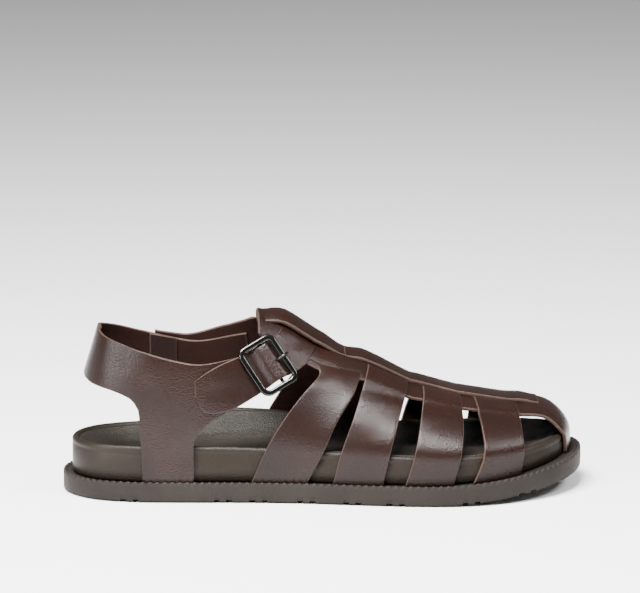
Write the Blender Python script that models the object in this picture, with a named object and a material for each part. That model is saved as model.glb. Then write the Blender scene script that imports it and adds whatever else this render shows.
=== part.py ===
"""Right-foot huarache sandal: lugged sole with a toothed rim, moulded footbed, woven leather
upper in one wall, and a centre-bar buckle on the outer side.

Metres, +X to the toe, +Y to the inner side of the foot, +Z up, floor at z = 0.
The upper lies on a last. The last is a row of sections along the foot: upright walls round the
footbed, then an arch up to the ridge over the instep. Lengths in the tables are shares of the
named sizes, and girths run from 0 on the welt to 1 on the ridge.
"""
import math

import bmesh
import bpy
import numpy as np
from mathutils import Matrix, Vector

# Driving sizes
SOLE_LENGTH = 0.296
BED_LENGTH = 0.282
BALL_WIDTH = 0.100
HEEL_WELT = 0.0052
TOE_WELT = 0.0088
SOLE_THICK = 0.010
TOE_SPRING = 0.0105
SPRING_START = 0.055
TOOTH_PITCH = 0.0042
TOOTH_HEIGHT = 0.0018
TOOTH_WIDTH = 0.0024
GROOVE_WIDTH = 0.0032
GROOVE_DEPTH = 0.0016
GROOVE_SPACING = 0.0068
RIM_HEIGHT = 0.021
RIM_ROUND = 0.0023
BED_DEPTH = 0.011
ARCH_RISE = 0.004
RIM_RISE = 0.0074
INSOLE_THICK = 0.0014
INSTEP_HEIGHT = 0.089
LEATHER = 0.0020
WEAVE_LIFT = 0.0015
WEAVE_RAMP = 0.004
ARCH_LIFT = 0.0030
EMBED = 0.0006
GAP = 0.0003
FACET = 0.0002
BRIDGE_WIDTH = 0.022
BAND_WIDTH = 0.050
INNER_MARGIN = 0.0045
HEEL_HALF_WIDTH = 0.034
BUCKLE_LENGTH = 0.024
BUCKLE_WIDTH = 0.0315
BUCKLE_CORNER = 0.0055
TWIST_LIFT = 0.0008
BUCKLE_WIRE = 0.0032
CENTRE_BAR = 0.0021
BAR_AHEAD = 0.0030
HUMP_BEHIND = 0.0105
HUMP_AHEAD = 0.0068
HUMP_TOP = 0.0020
PRONG_WIRE = 0.0017
PRONG_SLOT = 0.0032
EYE_WALL = 0.0009

# Footbed outline: share of the bed's length from the heel, share of the ball width from the axis
OUTLINE = [
    (0.000, 0.000), (0.012, -0.130), (0.050, -0.245), (0.120, -0.315), (0.220, -0.340),
    (0.340, -0.355), (0.460, -0.385), (0.580, -0.440), (0.700, -0.482), (0.790, -0.482),
    (0.860, -0.435), (0.920, -0.350), (0.965, -0.235), (0.990, -0.115), (1.000, 0.035),
    (0.990, 0.170), (0.960, 0.285), (0.910, 0.385), (0.840, 0.458), (0.760, 0.488),
    (0.680, 0.460), (0.580, 0.385), (0.470, 0.325), (0.360, 0.320), (0.240, 0.335),
    (0.130, 0.320), (0.050, 0.245), (0.012, 0.130),
]
# Sections of the last: share of the bed's length, value
RIDGE = [  # height of the ridge, share of the instep height
    (0.00, 1.449), (0.12, 1.46), (0.20, 1.505), (0.27, 1.472), (0.325, 1.270), (0.37, 1.135),
    (0.42, 1.088), (0.46, 1.008), (0.494, 0.938), (0.547, 0.871), (0.593, 0.815),
    (0.676, 0.675), (0.694, 0.660), (0.769, 0.590), (0.793, 0.575), (0.874, 0.534),
    (0.905, 0.531),
]
ROUND = [  # exponent of the arch: 2 is an ellipse, less is nearer a roof
    (0.0, 1.15), (0.10, 2.0), (0.2, 2.1), (0.35, 1.75), (0.5, 1.6), (0.7, 1.6), (0.9, 1.6),
    (1.0, 1.7),
]
RIDGE_SIDE = [(0.0, 0.0), (0.4, 0.02), (0.6, 0.04), (0.8, 0.05), (1.0, 0.035)]
RIM = [  # height of the footbed's rim over the sole, share of the rim height
    (0.0, 1.0), (0.3, 0.98), (0.5, 0.88), (0.65, 0.79), (0.85, 0.70), (1.0, 0.62),
]
INNER_RISE = [  # rise of the rim beside the arch, share of the rim rise
    (0.0, 0.0), (0.13, 0.0), (0.20, 0.45), (0.28, 1.0), (0.42, 1.0), (0.52, 0.45), (0.62, 0.0),
    (1.0, 0.0),
]
BED_DROP = [(0.0, 1.0), (0.3, 0.80), (0.6, 0.50), (0.85, 0.50), (1.0, 0.65)]
# Ridge over the toe: share of the way ahead to the toe, share of the way down to the welt
TOE_RIDGE = [
    (0.00, 0.00), (0.28, 0.01), (0.52, 0.065), (0.72, 0.185), (0.875, 0.350), (0.965, 0.500),
    (0.998, 0.650), (1.00, 1.00),
]
# Woven cross straps: share of the girth, then rear and front edges as shares of the bed's length
STRAPS = {
    "ball": [
        (0.00, 0.519, 0.618), (0.20, 0.535, 0.631), (0.42, 0.560, 0.648),
        (0.70, 0.584, 0.666), (1.00, 0.598, 0.675),
    ],
    "middle": [
        (0.00, 0.661, 0.756), (0.20, 0.678, 0.771), (0.42, 0.691, 0.779),
        (0.68, 0.701, 0.780), (1.00, 0.703, 0.777),
    ],
    "toe": [
        (0.00, 0.795, 0.891), (0.20, 0.815, 0.897), (0.45, 0.815, 0.897),
        (0.65, 0.811, 0.895), (1.00, 0.804, 0.889),
    ],
}
WING = [
    (0.00, 0.357, 0.469), (0.21, 0.391, 0.503), (0.36, 0.424, 0.524), (0.48, 0.451, 0.545),
    (0.58, 0.474, 0.562), (0.67, 0.493, 0.571), (0.72, 0.493, 0.576), (0.77, 0.465, 0.580),
    (0.86, 0.452, 0.588),
]
INNER_WING = [
    (0.00, 0.357, 0.469), (0.21, 0.391, 0.503), (0.36, 0.419, 0.524), (0.48, 0.440, 0.545),
    (0.58, 0.457, 0.562), (0.67, 0.472, 0.571), (0.72, 0.476, 0.576), (0.77, 0.462, 0.580),
    (0.86, 0.452, 0.588),
]
# Band along the ridge: share of the bed's length, half width as a share of the band's width
BAND = [
    (0.371, 0.42), (0.40, 0.46), (0.45, 0.52), (0.50, 0.53), (0.60, 0.52), (0.80, 0.52),
    (0.905, 0.49),
]
BAND_TOE = [(0.0, 0.49), (0.3, 0.48), (0.55, 0.46), (0.8, 0.40), (1.0, 0.34)]
# Instep strap, from its tip on the outer side: upper edge then lower edge, each as share of the
# bed's length and share of the girth, positive on the inner side
INSTEP = [
    (0.246, -0.425, 0.247, -0.365), (0.258, -0.447, 0.266, -0.303), (0.285, -0.503, 0.312, -0.340),
    (0.325, -0.603, 0.366, -0.460), (0.360, -0.691, 0.410, -0.553), (0.392, -0.768, 0.442, -0.628),
    (0.416, -0.853, 0.470, -0.735), (0.428, -0.999, 0.494, -0.985), (0.394, 0.945, 0.466, 0.760),
    (0.361, 0.837, 0.430, 0.645), (0.338, 0.750, 0.392, 0.540), (0.305, 0.645, 0.345, 0.425),
    (0.270, 0.560, 0.295, 0.350), (0.234, 0.528, 0.243, 0.325), (0.190, 0.538, 0.195, 0.335),
    (0.169, 0.551, 0.171, 0.350),
]
# Line of the instep strap behind, under and ahead of the buckle: shares of length and girth
BUCKLE_LINE = [(0.3515, 0.539), (0.389, 0.626), (0.422, 0.703)]
# Quarter, from the outer front round to the heel, the inner side mirrors it: lower edge then upper
# edge, each as run round the footbed from the heel, a share of its length, and as height, a share
# of the instep height. Height 0 is the welt.
QUARTER = [
    (-0.425, 0.664, -0.415, 0.922), (-0.388, 0.598, -0.384, 0.905), (-0.350, 0.532, -0.350, 0.884),
    (-0.325, 0.476, -0.331, 0.875), (-0.311, 0.426, -0.318, 0.872), (-0.304, 0.376, -0.308, 0.873),
    (-0.303, 0.300, -0.300, 0.875), (-0.303, 0.000, -0.296, 0.877), (-0.268, 0.000, -0.270, 0.893),
    (-0.235, 0.000, -0.245, 0.911), (-0.202, 0.000, -0.222, 0.931), (-0.200, 0.300, -0.216, 0.936),
    (-0.196, 0.544, -0.207, 0.944), (-0.191, 0.600, -0.196, 0.953), (-0.177, 0.655, -0.178, 0.970),
    (-0.138, 0.700, -0.143, 1.003), (-0.087, 0.725, -0.090, 1.038), (-0.045, 0.745, -0.045, 1.045),
    (0.000, 0.755, 0.000, 1.046),
]


def curve(table, key, column=1):
    """Smooth value of a table's column at a key, or at each of an array of keys."""
    keys = np.array([row[0] for row in table], float)
    values = np.array([row[column] for row in table], float)
    key = np.clip(np.asarray(key, float), keys[0], keys[-1])
    slopes = np.gradient(values, keys)
    slopes[1:-1] = (values[2:] - values[:-2]) / (keys[2:] - keys[:-2])
    i = np.clip(np.searchsorted(keys, key, side="right") - 1, 0, len(keys) - 2)
    step = keys[i + 1] - keys[i]
    t = (key - keys[i]) / step
    return ((2 * t**3 - 3 * t**2 + 1) * values[i] + (t**3 - 2 * t**2 + t) * step * slopes[i]
            + (3 * t**2 - 2 * t**3) * values[i + 1] + (t**3 - t**2) * step * slopes[i + 1])


def smooth(t):
    """Rises from 0 to 1 as t does, level at both ends."""
    t = np.clip(t, 0.0, 1.0)
    return t * t * (3 - 2 * t)


def closed_curve(points, steps=24):
    """Dense points on a smooth closed curve through the points, spaced by their chords."""
    points = np.array(points, float)
    count = len(points)
    dense = []
    for i in range(count):
        p0, p1, p2, p3 = (points[(i + k) % count] for k in (-1, 0, 1, 2))
        d1, d2, d3 = (math.sqrt(np.linalg.norm(b - a)) for a, b in ((p0, p1), (p1, p2), (p2, p3)))
        m1 = d2 * ((p1 - p0) / d1 - (p2 - p0) / (d1 + d2) + (p2 - p1) / d2)
        m2 = d2 * ((p2 - p1) / d2 - (p3 - p1) / (d2 + d3) + (p3 - p2) / d3)
        for t in np.arange(steps) / steps:
            dense.append((2 * t**3 - 3 * t**2 + 1) * p1 + (t**3 - 2 * t**2 + t) * m1
                         + (3 * t**2 - 2 * t**3) * p2 + (t**3 - t**2) * m2)
    return np.array(dense)


def resample(loop, count):
    """That many points at equal spacing round a closed loop, from its first point."""
    closed = np.vstack([loop, loop[:1]])
    run = np.concatenate([[0], np.cumsum(np.linalg.norm(np.diff(closed, axis=0), axis=1))])
    at = np.arange(count) / count * run[-1]
    return np.column_stack([np.interp(at, run, closed[:, k]) for k in (0, 1)])


def outward(loop):
    """Unit normals of a loop that runs from the heel along the outer side."""
    along = np.roll(loop, -1, axis=0) - np.roll(loop, 1, axis=0)
    along /= np.linalg.norm(along, axis=1)[:, None]
    return np.column_stack([along[:, 1], -along[:, 0]])


HEEL_X = HEEL_WELT - SOLE_LENGTH / 2
TOE_X = HEEL_X + BED_LENGTH
BED_LOOP = closed_curve([(HEEL_X + a * BED_LENGTH, c * BALL_WIDTH) for a, c in OUTLINE])
TOE_INDEX = int(np.argmax(BED_LOOP[:, 0]))
OUTER_SIDE = BED_LOOP[:TOE_INDEX + 1]
INNER_SIDE = np.vstack([BED_LOOP[TOE_INDEX:], BED_LOOP[:1]])[::-1]


PLAN = np.vstack([OUTER_SIDE[::-1], INNER_SIDE[1:]])
PLAN_STEPS = np.linalg.norm(np.diff(PLAN, axis=0), axis=1)
PLAN_RUN = np.concatenate([[0], np.cumsum(PLAN_STEPS)]) - PLAN_STEPS[:TOE_INDEX].sum()


def share(x):
    return (np.asarray(x, float) - HEEL_X) / BED_LENGTH


def spring(x):
    """Rise of the sole's underside towards the toe."""
    t = np.clip((np.asarray(x, float) - SPRING_START) / (SOLE_LENGTH / 2 - SPRING_START), 0, None)
    return TOE_SPRING * t**1.8


def bed_base(x):
    return SOLE_THICK + spring(x) + GAP + FACET


def rim_z(x):
    return SOLE_THICK + spring(x) + RIM_HEIGHT * curve(RIM, share(x))


def ridge_z(x):
    return INSTEP_HEIGHT * curve(RIDGE, share(x))


def ridge_y(x):
    return BALL_WIDTH * curve(RIDGE_SIDE, share(x))


def wall_y(x, side):
    """Where the upper's inner face stands beside the footbed; side is -1 outer or 1 inner."""
    outer = np.interp(x, OUTER_SIDE[:, 0], OUTER_SIDE[:, 1]) - GAP
    inner = np.interp(x, INNER_SIDE[:, 0], INNER_SIDE[:, 1]) + GAP
    return np.where(np.asarray(side) < 0, outer, inner)


def radius(x, angle):
    """Distance from the section's centre to the last; the angle is 0 up and positive inwards."""
    half = np.abs(wall_y(x, np.sign(angle)) - ridge_y(x))
    rise = np.maximum(ridge_z(x) - rim_z(x), 0.001)
    power = curve(ROUND, share(x))
    s, c = np.abs(np.sin(angle)), np.cos(angle)
    arch = ((s / half)**power + (np.maximum(c, 0) / rise)**power)**(-1 / power)
    return np.where(c > 0, arch, half / np.maximum(s, 1e-6))


def snap(points):
    """Moves points onto the last, within their own sections."""
    points = np.asarray(points, float)
    x = points[..., 0]
    dy, dz = points[..., 1] - ridge_y(x), points[..., 2] - rim_z(x)
    angle = np.arctan2(dy, dz)
    reach = radius(x, angle)
    return np.stack([x, ridge_y(x) + reach * np.sin(angle), rim_z(x) + reach * np.cos(angle)], -1)


def height_over(points):
    x = points[..., 0]
    dy, dz = points[..., 1] - ridge_y(x), points[..., 2] - rim_z(x)
    return np.hypot(dy, dz) - radius(x, np.arctan2(dy, dz))


def normals(points, step=0.0004):
    """Outward unit normals of the last at points on it."""
    parts = []
    for axis in range(3):
        shift = np.zeros(3)
        shift[axis] = step
        parts.append(height_over(points + shift) - height_over(points - shift))
    n = np.stack(parts, -1)
    return n / np.linalg.norm(n, axis=-1, keepdims=True)


def girth_line(x, side, samples=64):
    """Points from the welt up to the ridge on one side of a section."""
    low = np.array([[x, float(wall_y(x, side)), float(bed_base(x))]])
    angles = side * np.pi / 2 * (1 - np.arange(samples + 1) / samples)
    xs = np.full(samples + 1, x)
    reach = radius(xs, np.where(np.abs(angles) < 1e-6, side * 1e-6, angles))
    arch = np.column_stack([xs, ridge_y(xs) + reach * np.sin(angles),
                            rim_z(xs) + reach * np.cos(angles)])
    return np.vstack([low, arch])


def at_girth(along, girth, side):
    """Point of the last at a share of the bed's length and a share of the girth."""
    line = girth_line(HEEL_X + along * BED_LENGTH, side)
    run = np.concatenate([[0], np.cumsum(np.linalg.norm(np.diff(line, axis=0), axis=1))])
    return np.array([np.interp(girth * run[-1], run, line[:, k]) for k in range(3)])


def from_ridge(x, distance):
    """Points of the last at signed distances from the ridge, along the girth at x."""
    out = []
    for d in distance:
        line = girth_line(x, -1 if d < 0 else 1)[::-1]
        run = np.concatenate([[0], np.cumsum(np.linalg.norm(np.diff(line, axis=0), axis=1))])
        out.append([np.interp(abs(d), run, line[:, k]) for k in range(3)])
    return np.array(out)


def link(made, material):
    """Names and colours an object and puts it in the scene."""
    bpy.context.scene.collection.objects.link(made)
    made.data.materials.append(material)
    return made


def mesh_object(name, vertices, faces, material):
    mesh = bpy.data.meshes.new(name)
    mesh.from_pydata([tuple(v) for v in vertices], [], faces)
    work = bmesh.new()
    work.from_mesh(mesh)
    bmesh.ops.recalc_face_normals(work, faces=work.faces)
    bmesh.ops.triangulate(work, faces=work.faces)
    work.to_mesh(mesh)
    work.free()
    mesh.update()
    return link(bpy.data.objects.new(name, mesh), material)


def slab(name, inner, outer, material):
    """Closed wall between two grids of points, rows by columns."""
    rows, cols = inner.shape[:2]
    vertices = np.vstack([inner.reshape(-1, 3), outer.reshape(-1, 3)])
    top = rows * cols

    def at(i, j, layer):
        return layer * top + i * cols + j

    faces = []
    for i in range(rows - 1):
        for j in range(cols - 1):
            a, b, c, d = ((i, j), (i + 1, j), (i + 1, j + 1), (i, j + 1))
            faces.append([at(*a, 0), at(*b, 0), at(*c, 0), at(*d, 0)])
            faces.append([at(*d, 1), at(*c, 1), at(*b, 1), at(*a, 1)])
    for i in range(rows - 1):
        for j in (0, cols - 1):
            faces.append([at(i, j, 0), at(i + 1, j, 0), at(i + 1, j, 1), at(i, j, 1)])
    for j in range(cols - 1):
        for i in (0, rows - 1):
            faces.append([at(i, j, 0), at(i, j + 1, 0), at(i, j + 1, 1), at(i, j, 1)])
    return mesh_object(name, vertices, faces, material)


def between(first, second, cols):
    """A grid on the last between two edge lines."""
    t = np.linspace(0, 1, cols)[None, :, None]
    return snap(first[:, None, :] * (1 - t) + second[:, None, :] * t)


def lifted(grid, low, high):
    """Inner and outer faces of a wall at heights low and high over the last."""
    n = normals(grid)
    low = np.broadcast_to(np.asarray(low, float), grid.shape[:2])
    high = np.broadcast_to(np.asarray(high, float), grid.shape[:2])
    return grid + n * low[..., None], grid + n * high[..., None]


def band_half(along, side=-1):
    """Half width of the band, which reaches further down on the inner side."""
    return BAND_WIDTH * curve(BAND, along) + INNER_MARGIN * (np.asarray(side) > 0)


def ridge_distance(grid):
    """Signed distance from the ridge of each point of a grid, measured across the foot."""
    return grid[..., 1] - ridge_y(grid[..., 0])


def unite(first, others, operation="UNION"):
    """Joins or cuts by exact Booleans, applied, and removes the tools."""
    for other in others:
        modifier = first.modifiers.new("join", "BOOLEAN")
        modifier.operation = operation
        modifier.solver = "EXACT"
        modifier.object = other
        view = bpy.context.evaluated_depsgraph_get()
        mesh = bpy.data.meshes.new_from_object(first.evaluated_get(view))
        first.modifiers.clear()
        old = first.data
        first.data = mesh
        bpy.data.meshes.remove(old)
        bpy.data.objects.remove(other)
    return first


def pairs_cap(loop_indices):
    """Faces that close a loop by strips between its two sides."""
    count = len(loop_indices)
    faces = [[loop_indices[0], loop_indices[1], loop_indices[-1]]]
    for k in range(1, count // 2 - 1):
        faces.append([loop_indices[k], loop_indices[k + 1], loop_indices[-k - 1], loop_indices[-k]])
    k = count // 2
    faces.append([loop_indices[k - 1], loop_indices[k], loop_indices[k + 1]])
    return faces


def ringed(name, rings, material):
    """Solid from stacked rings of equal count, closed at both ends by strips."""
    count = len(rings[0])
    faces = []
    for level in range(len(rings) - 1):
        low, high = level * count, (level + 1) * count
        for k in range(count):
            m = (k + 1) % count
            faces.append([low + k, low + m, high + m, high + k])
    faces += pairs_cap(list(range(count)))
    last = (len(rings) - 1) * count
    faces += pairs_cap(list(range(last, last + count)))
    return mesh_object(name, np.vstack(rings), faces, material)


def inset_ring(loop, normal, inset, z):
    flat = loop - normal * np.broadcast_to(inset, len(loop))[:, None]
    return np.column_stack([flat, np.broadcast_to(z, len(loop))])


def make_outsole(material):
    """Sole with a ring of teeth on its rim and cross grooves in its tread."""
    loop = closed_curve([(HEEL_X + a * BED_LENGTH, c * BALL_WIDTH) for a, c in OUTLINE], 40)
    normal = outward(loop)
    welt = HEEL_WELT + (TOE_WELT - HEEL_WELT) * smooth(share(loop[:, 0]))
    edge = loop + normal * welt[:, None]
    run = np.linalg.norm(np.diff(np.vstack([edge, edge[:1]]), axis=0), axis=1).sum()
    teeth = 2 * round(run / TOOTH_PITCH / 2)
    edge = resample(edge, 2 * teeth)
    normal = outward(edge)
    rise = spring(edge[:, 0])
    tooth = np.where(np.arange(2 * teeth) % 2 == 0, 0.0, TOOTH_HEIGHT)
    rings = [
        inset_ring(edge, normal, 0, rise),
        inset_ring(edge, normal, 0, rise + SOLE_THICK + tooth),
        inset_ring(edge, normal, TOOTH_WIDTH, rise + SOLE_THICK),
    ]
    sole = ringed("outsole", rings, material)
    grooves = []
    for along in (0.115, 0.30, 0.64, 0.79, 0.905, 0.37, 0.465, 0.555):
        for step in (-0.5, 0.5):
            x = HEEL_X + along * BED_LENGTH + step * GROOVE_SPACING
            slope = math.atan2(float(spring(x + 0.001) - spring(x - 0.001)), 0.002)
            bpy.ops.mesh.primitive_cube_add(size=1)
            cutter = bpy.context.object
            cutter.data.transform(Matrix.Diagonal((GROOVE_WIDTH, 2 * BALL_WIDTH,
                                                   2 * GROOVE_DEPTH, 1)))
            cutter.matrix_world = (Matrix.Translation((x, 0, float(spring(x))))
                                   @ Matrix.Rotation(-slope, 4, "Y"))
            grooves.append(cutter)
    return unite(sole, grooves, "DIFFERENCE")


BED_INSETS = (0.044, 0.095, 0.160, 0.235)
BED_BOWL = (0.30, 0.66, 0.93, 1.0)


def inner_rise(loop):
    """Rise of the rim beside the arch, and how far the last leans in at that height."""
    x = loop[:, 0]
    rise = RIM_RISE * np.maximum(curve(INNER_RISE, share(x)), 0) * (loop[:, 1] > 0)
    half = np.abs(wall_y(x, 1) - ridge_y(x))
    power = curve(ROUND, share(x))
    lean = half * (1 - (1 - (rise / (ridge_z(x) - rim_z(x)))**power)**(1 / power))
    return rise, lean


def bed_heights(loop, level):
    """Height of the footbed's hollow at one of its rings."""
    along = share(loop[:, 0])
    drop = BED_DEPTH * curve(BED_DROP, along) * BED_BOWL[level]
    arch = np.exp(-((along - 0.42) / 0.16)**2) * (loop[:, 1] > 0)
    arch = ARCH_RISE * arch * (0.35, 0.9, 0.8, 0.35)[level]
    rise, _ = inner_rise(loop)
    return rim_z(loop[:, 0]) - drop + arch + rise * (0.85, 0.45, 0.12, 0.0)[level]


BED_STATIONS = 64


def make_footbed(material):
    """Moulded bed with upright walls, a rounded rim and a hollow for the foot."""
    loop = resample(BED_LOOP, BED_STATIONS)
    normal = outward(loop)
    x = loop[:, 0]
    base = bed_base(x) + FACET
    rise, lean = inner_rise(loop)
    rim = rim_z(x) + rise
    rings = [
        inset_ring(loop, normal, 0.2 * RIM_ROUND, base),
        inset_ring(loop, normal, 0, base + RIM_ROUND),
        inset_ring(loop, normal, 0.04 * RIM_ROUND + lean, rim - RIM_ROUND),
        inset_ring(loop, normal, 0.35 * RIM_ROUND + lean, rim - 0.3 * RIM_ROUND),
        inset_ring(loop, normal, RIM_ROUND + lean, rim),
    ]
    for level, inset in enumerate(BED_INSETS):
        rings.append(inset_ring(loop, normal, inset * BALL_WIDTH, bed_heights(loop, level)))
    return ringed("footbed", rings, material)


def make_insole(material):
    """Thin lining sheet that lies in the footbed's hollow."""
    loop = resample(BED_LOOP, BED_STATIONS)
    normal = outward(loop)
    under = GAP + FACET
    rings = []
    for lift in (under, under + INSOLE_THICK):
        face = []
        for level, inset in enumerate(BED_INSETS):
            edge = 2 * GAP if level == 0 else 0
            heights = bed_heights(loop, level) + lift - edge / 2
            face.append(inset_ring(loop, normal, inset * BALL_WIDTH + edge, heights))
        rings += face[::-1] if lift == under else face
    return ringed("insole", rings, material)


def strap_offsets(grid):
    """A woven strap lies on the band's margins and dips under its bridge."""
    across = ridge_distance(grid)
    d = np.abs(across)
    half = band_half(share(grid[..., 0]), across) - LEATHER
    past = (d - BRIDGE_WIDTH / 2) / WEAVE_RAMP + 0.25
    over = smooth(past) * (1 - smooth((d - half) / WEAVE_RAMP / 1.5))
    under = 1 - smooth(past / 0.75)
    low = EMBED * np.maximum(over, under)
    high = LEATHER + WEAVE_LIFT * over - EMBED * under
    return low, high


def make_cross_strap(name, table, material):
    """One strap from welt to welt over the foot, in and out of the band."""
    girth = np.concatenate([np.linspace(0, 1, 14), np.linspace(1, 0, 14)[1:]])
    sides = np.array([-1] * 14 + [1] * 13)
    rear = np.array([at_girth(float(curve(table, g)), g, s) for g, s in zip(girth, sides)])
    front = np.array([at_girth(float(curve(table, g, 2)), g, s) for g, s in zip(girth, sides)])
    grid = between(rear, front, 4)
    grid[0, :, 2] = bed_base(grid[0, :, 0])
    grid[-1, :, 2] = bed_base(grid[-1, :, 0])
    return slab(name, *lifted(grid, *strap_offsets(grid)), material)


def make_wing(name, table, side, material):
    """Wide strap that grows out of the band at the instep, on one side."""
    girth = np.concatenate([np.linspace(0, 0.60, 9), np.linspace(0.66, 0.86, 6)])
    rear = np.array([at_girth(float(curve(table, g)), g, side) for g in girth])
    front = np.array([at_girth(float(curve(table, g, 2)), g, side) for g in girth])
    grid = between(rear, front, 6)
    grid[0, :, 2] = bed_base(grid[0, :, 0])
    d = np.abs(ridge_distance(grid))
    inside = smooth((band_half(share(grid[..., 0]), side) - LEATHER - d) / WEAVE_RAMP)
    return slab(name, *lifted(grid, EMBED * inside, LEATHER - EMBED * inside), material)


TOE_START = HEEL_X + BAND[-1][0] * BED_LENGTH


def toe_band_rows(count, columns):
    """The band's inner face and normals, from its last section over the toe to the welt."""
    front = TOE_X + GAP + FACET
    low = float(bed_base(front + LEATHER)) + FACET
    top = float(ridge_z(TOE_START))
    numbered = [(k / (len(TOE_RIDGE) - 1), *row) for k, row in enumerate(TOE_RIDGE)]
    run = np.concatenate([[0], np.cumsum(np.linalg.norm(np.diff(BED_LOOP, axis=0), axis=1))])
    t = np.linspace(0, 1, count)
    ahead = curve(numbered, t, 1)
    down = curve(numbered, t, 2)
    path = np.column_stack([TOE_START + (front - TOE_START) * ahead, top - (top - low) * down])
    along = np.gradient(path, axis=0)
    along /= np.linalg.norm(along, axis=1)[:, None]
    facing = np.column_stack([-along[:, 1], along[:, 0]])
    facing[0], facing[-1] = (0.0, 1.0), (1.0, 0.0)
    rows = []
    for k in range(count):
        half = BAND_WIDTH * float(curve(BAND_TOE, t[k]))
        d = np.linspace(-half, half + INNER_MARGIN, columns)
        section = from_ridge(TOE_START, d)
        across, sink = section[:, 1] - float(ridge_y(TOE_START)), top - section[:, 2]
        plan = np.column_stack([np.interp(run[TOE_INDEX] + d, run, BED_LOOP[:, c])
                                for c in (0, 1)])
        turn = float(smooth(math.atan2(facing[k, 0], facing[k, 1]) / (math.pi / 2)))
        y = (ridge_y(TOE_START) + across) * (1 - turn) + plan[:, 1] * turn
        back = sink * (1 - turn) + (TOE_X - plan[:, 0]) * turn
        rows.append(np.column_stack([path[k, 0] - facing[k, 0] * back, y,
                                     path[k, 1] - facing[k, 1] * back]))
    return np.array(rows)


def grid_normals(grid):
    """Outward normals of a grid whose rows run forward and columns run inwards."""
    down = np.gradient(grid, axis=0)
    across = np.gradient(grid, axis=1)
    n = np.cross(down, across)
    return n / np.linalg.norm(n, axis=-1, keepdims=True)


def make_band(material, columns=7):
    """Band along the ridge, from the tab at the instep over the toe to the welt."""
    stations = np.linspace(BAND[0][0], BAND[-1][0], 24)
    rows = []
    for along in stations[:-1]:
        d = np.linspace(-float(band_half(along)), float(band_half(along, 1)), columns)
        rows.append(from_ridge(HEEL_X + along * BED_LENGTH, d))
    toe = toe_band_rows(15, columns)
    grid = np.vstack([np.array(rows), toe])
    n = grid_normals(grid)
    return slab("upper", grid, grid + n * LEATHER, material)


def bridge_crossings():
    """Front and rear of each place where the band's middle passes over a strap."""
    spans = [(table[-1][1], table[-1][2]) for table in STRAPS.values()]
    return [(0.418, 0.500)] + spans


def make_bridge(name, start, end, lift, material):
    """Raised middle of the band over one strap."""
    margin = 0.23 * BRIDGE_WIDTH / BED_LENGTH
    along = np.linspace(start - margin, end + margin, 10)
    columns = np.linspace(-BRIDGE_WIDTH / 2, BRIDGE_WIDTH / 2, 5)
    grid = snap(np.array([from_ridge(HEEL_X + a * BED_LENGTH, columns) for a in along]))
    t = np.linspace(0, 1, 10)
    raised = smooth(np.minimum(t, 1 - t) / 0.22)[:, None]
    low = np.full((10, 1), EMBED)
    high = LEATHER - EMBED + (lift + EMBED) * raised
    return slab(name, *lifted(grid, np.repeat(low, 5, 1), np.repeat(high, 5, 1)), material)


def heel_point(run, height):
    """Point of the heel part at signed runs round the footbed from the heel, and heights."""
    plan = np.column_stack([np.interp(run, PLAN_RUN, PLAN[:, k]) for k in (0, 1)])
    ahead = np.column_stack([np.interp(run + 0.001, PLAN_RUN, PLAN[:, k])
                             - np.interp(run - 0.001, PLAN_RUN, PLAN[:, k]) for k in (0, 1)])
    ahead /= np.linalg.norm(ahead, axis=1)[:, None]
    out = np.column_stack([-ahead[:, 1], ahead[:, 0]])
    x = plan[:, 0]
    power = curve(ROUND, share(x))
    q = np.clip((height - rim_z(x)) / (ridge_z(x) - rim_z(x)), 0, 0.98)
    lean = HEEL_HALF_WIDTH * (1 - (1 - q**power)**(1 / power))
    points = np.column_stack([plan + out * (GAP - lean)[:, None], height])
    near = smooth((share(x) - 0.12) / 0.08)[:, None]
    return points * (1 - near) + snap(points) * near


def quarter_rows():
    """Rows of the quarter as runs and heights, with more where the edges bend."""
    table = QUARTER + [(-a, b, -c, d) for a, b, c, d in reversed(QUARTER[:-1])]
    rows = [(k, a * BED_LENGTH, b * INSTEP_HEIGHT, c * BED_LENGTH, d * INSTEP_HEIGHT)
            for k, (a, b, c, d) in enumerate(table)]
    index = []
    for k in range(len(rows) - 1):
        parts = 1 if rows[k][2] * rows[k + 1][2] == 0 else 2
        index += list(k + np.arange(parts) / parts)
    index = np.array(index + [len(rows) - 1])
    low_run, low, top_run, top = (curve(rows, index, column) for column in (1, 2, 3, 4))
    stands = np.interp(index, range(len(rows)), [row[2] == 0 for row in rows]) > 0.99
    return low_run, np.where(stands, 0.0, low), top_run, top


def make_quarter(material, columns=5):
    """Heel strap with a post down to the welt on each side, and arms to the instep strap."""
    low_run, low, top_run, top = quarter_rows()
    low = np.maximum(low, bed_base(np.interp(low_run, PLAN_RUN, PLAN[:, 0])))
    t = np.linspace(0, 1, columns)[:, None]
    run = (low_run * (1 - t) + top_run * t).ravel()
    height = (low * (1 - t) + top * t).ravel()
    step = 0.0004
    points = heel_point(run, height)
    round_heel = heel_point(run + step, height) - heel_point(run - step, height)
    upwards = heel_point(run, height + step) - heel_point(run, height - step)
    out = np.cross(upwards, round_heel)
    out /= np.linalg.norm(out, axis=1)[:, None]
    shape = (columns, len(low_run), 3)
    grid = points.reshape(shape).transpose(1, 0, 2)
    out = out.reshape(shape).transpose(1, 0, 2)
    return slab("quarter", grid, grid + out * LEATHER, material)


def buckle_frame_axes():
    """Centre of the buckle on the last, and its axes: along the strap, across it, out."""
    behind, centre, ahead = (at_girth(*place, -1) for place in BUCKLE_LINE)
    along = (ahead - behind) / np.linalg.norm(ahead - behind)
    rim = np.cross(normals(centre), along) * BUCKLE_WIDTH / 2
    low, high = snap(np.array([centre - rim, centre + rim]))
    out = np.cross(along, high - low)
    out /= np.linalg.norm(out)
    return centre, along, np.cross(out, along), out


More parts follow.
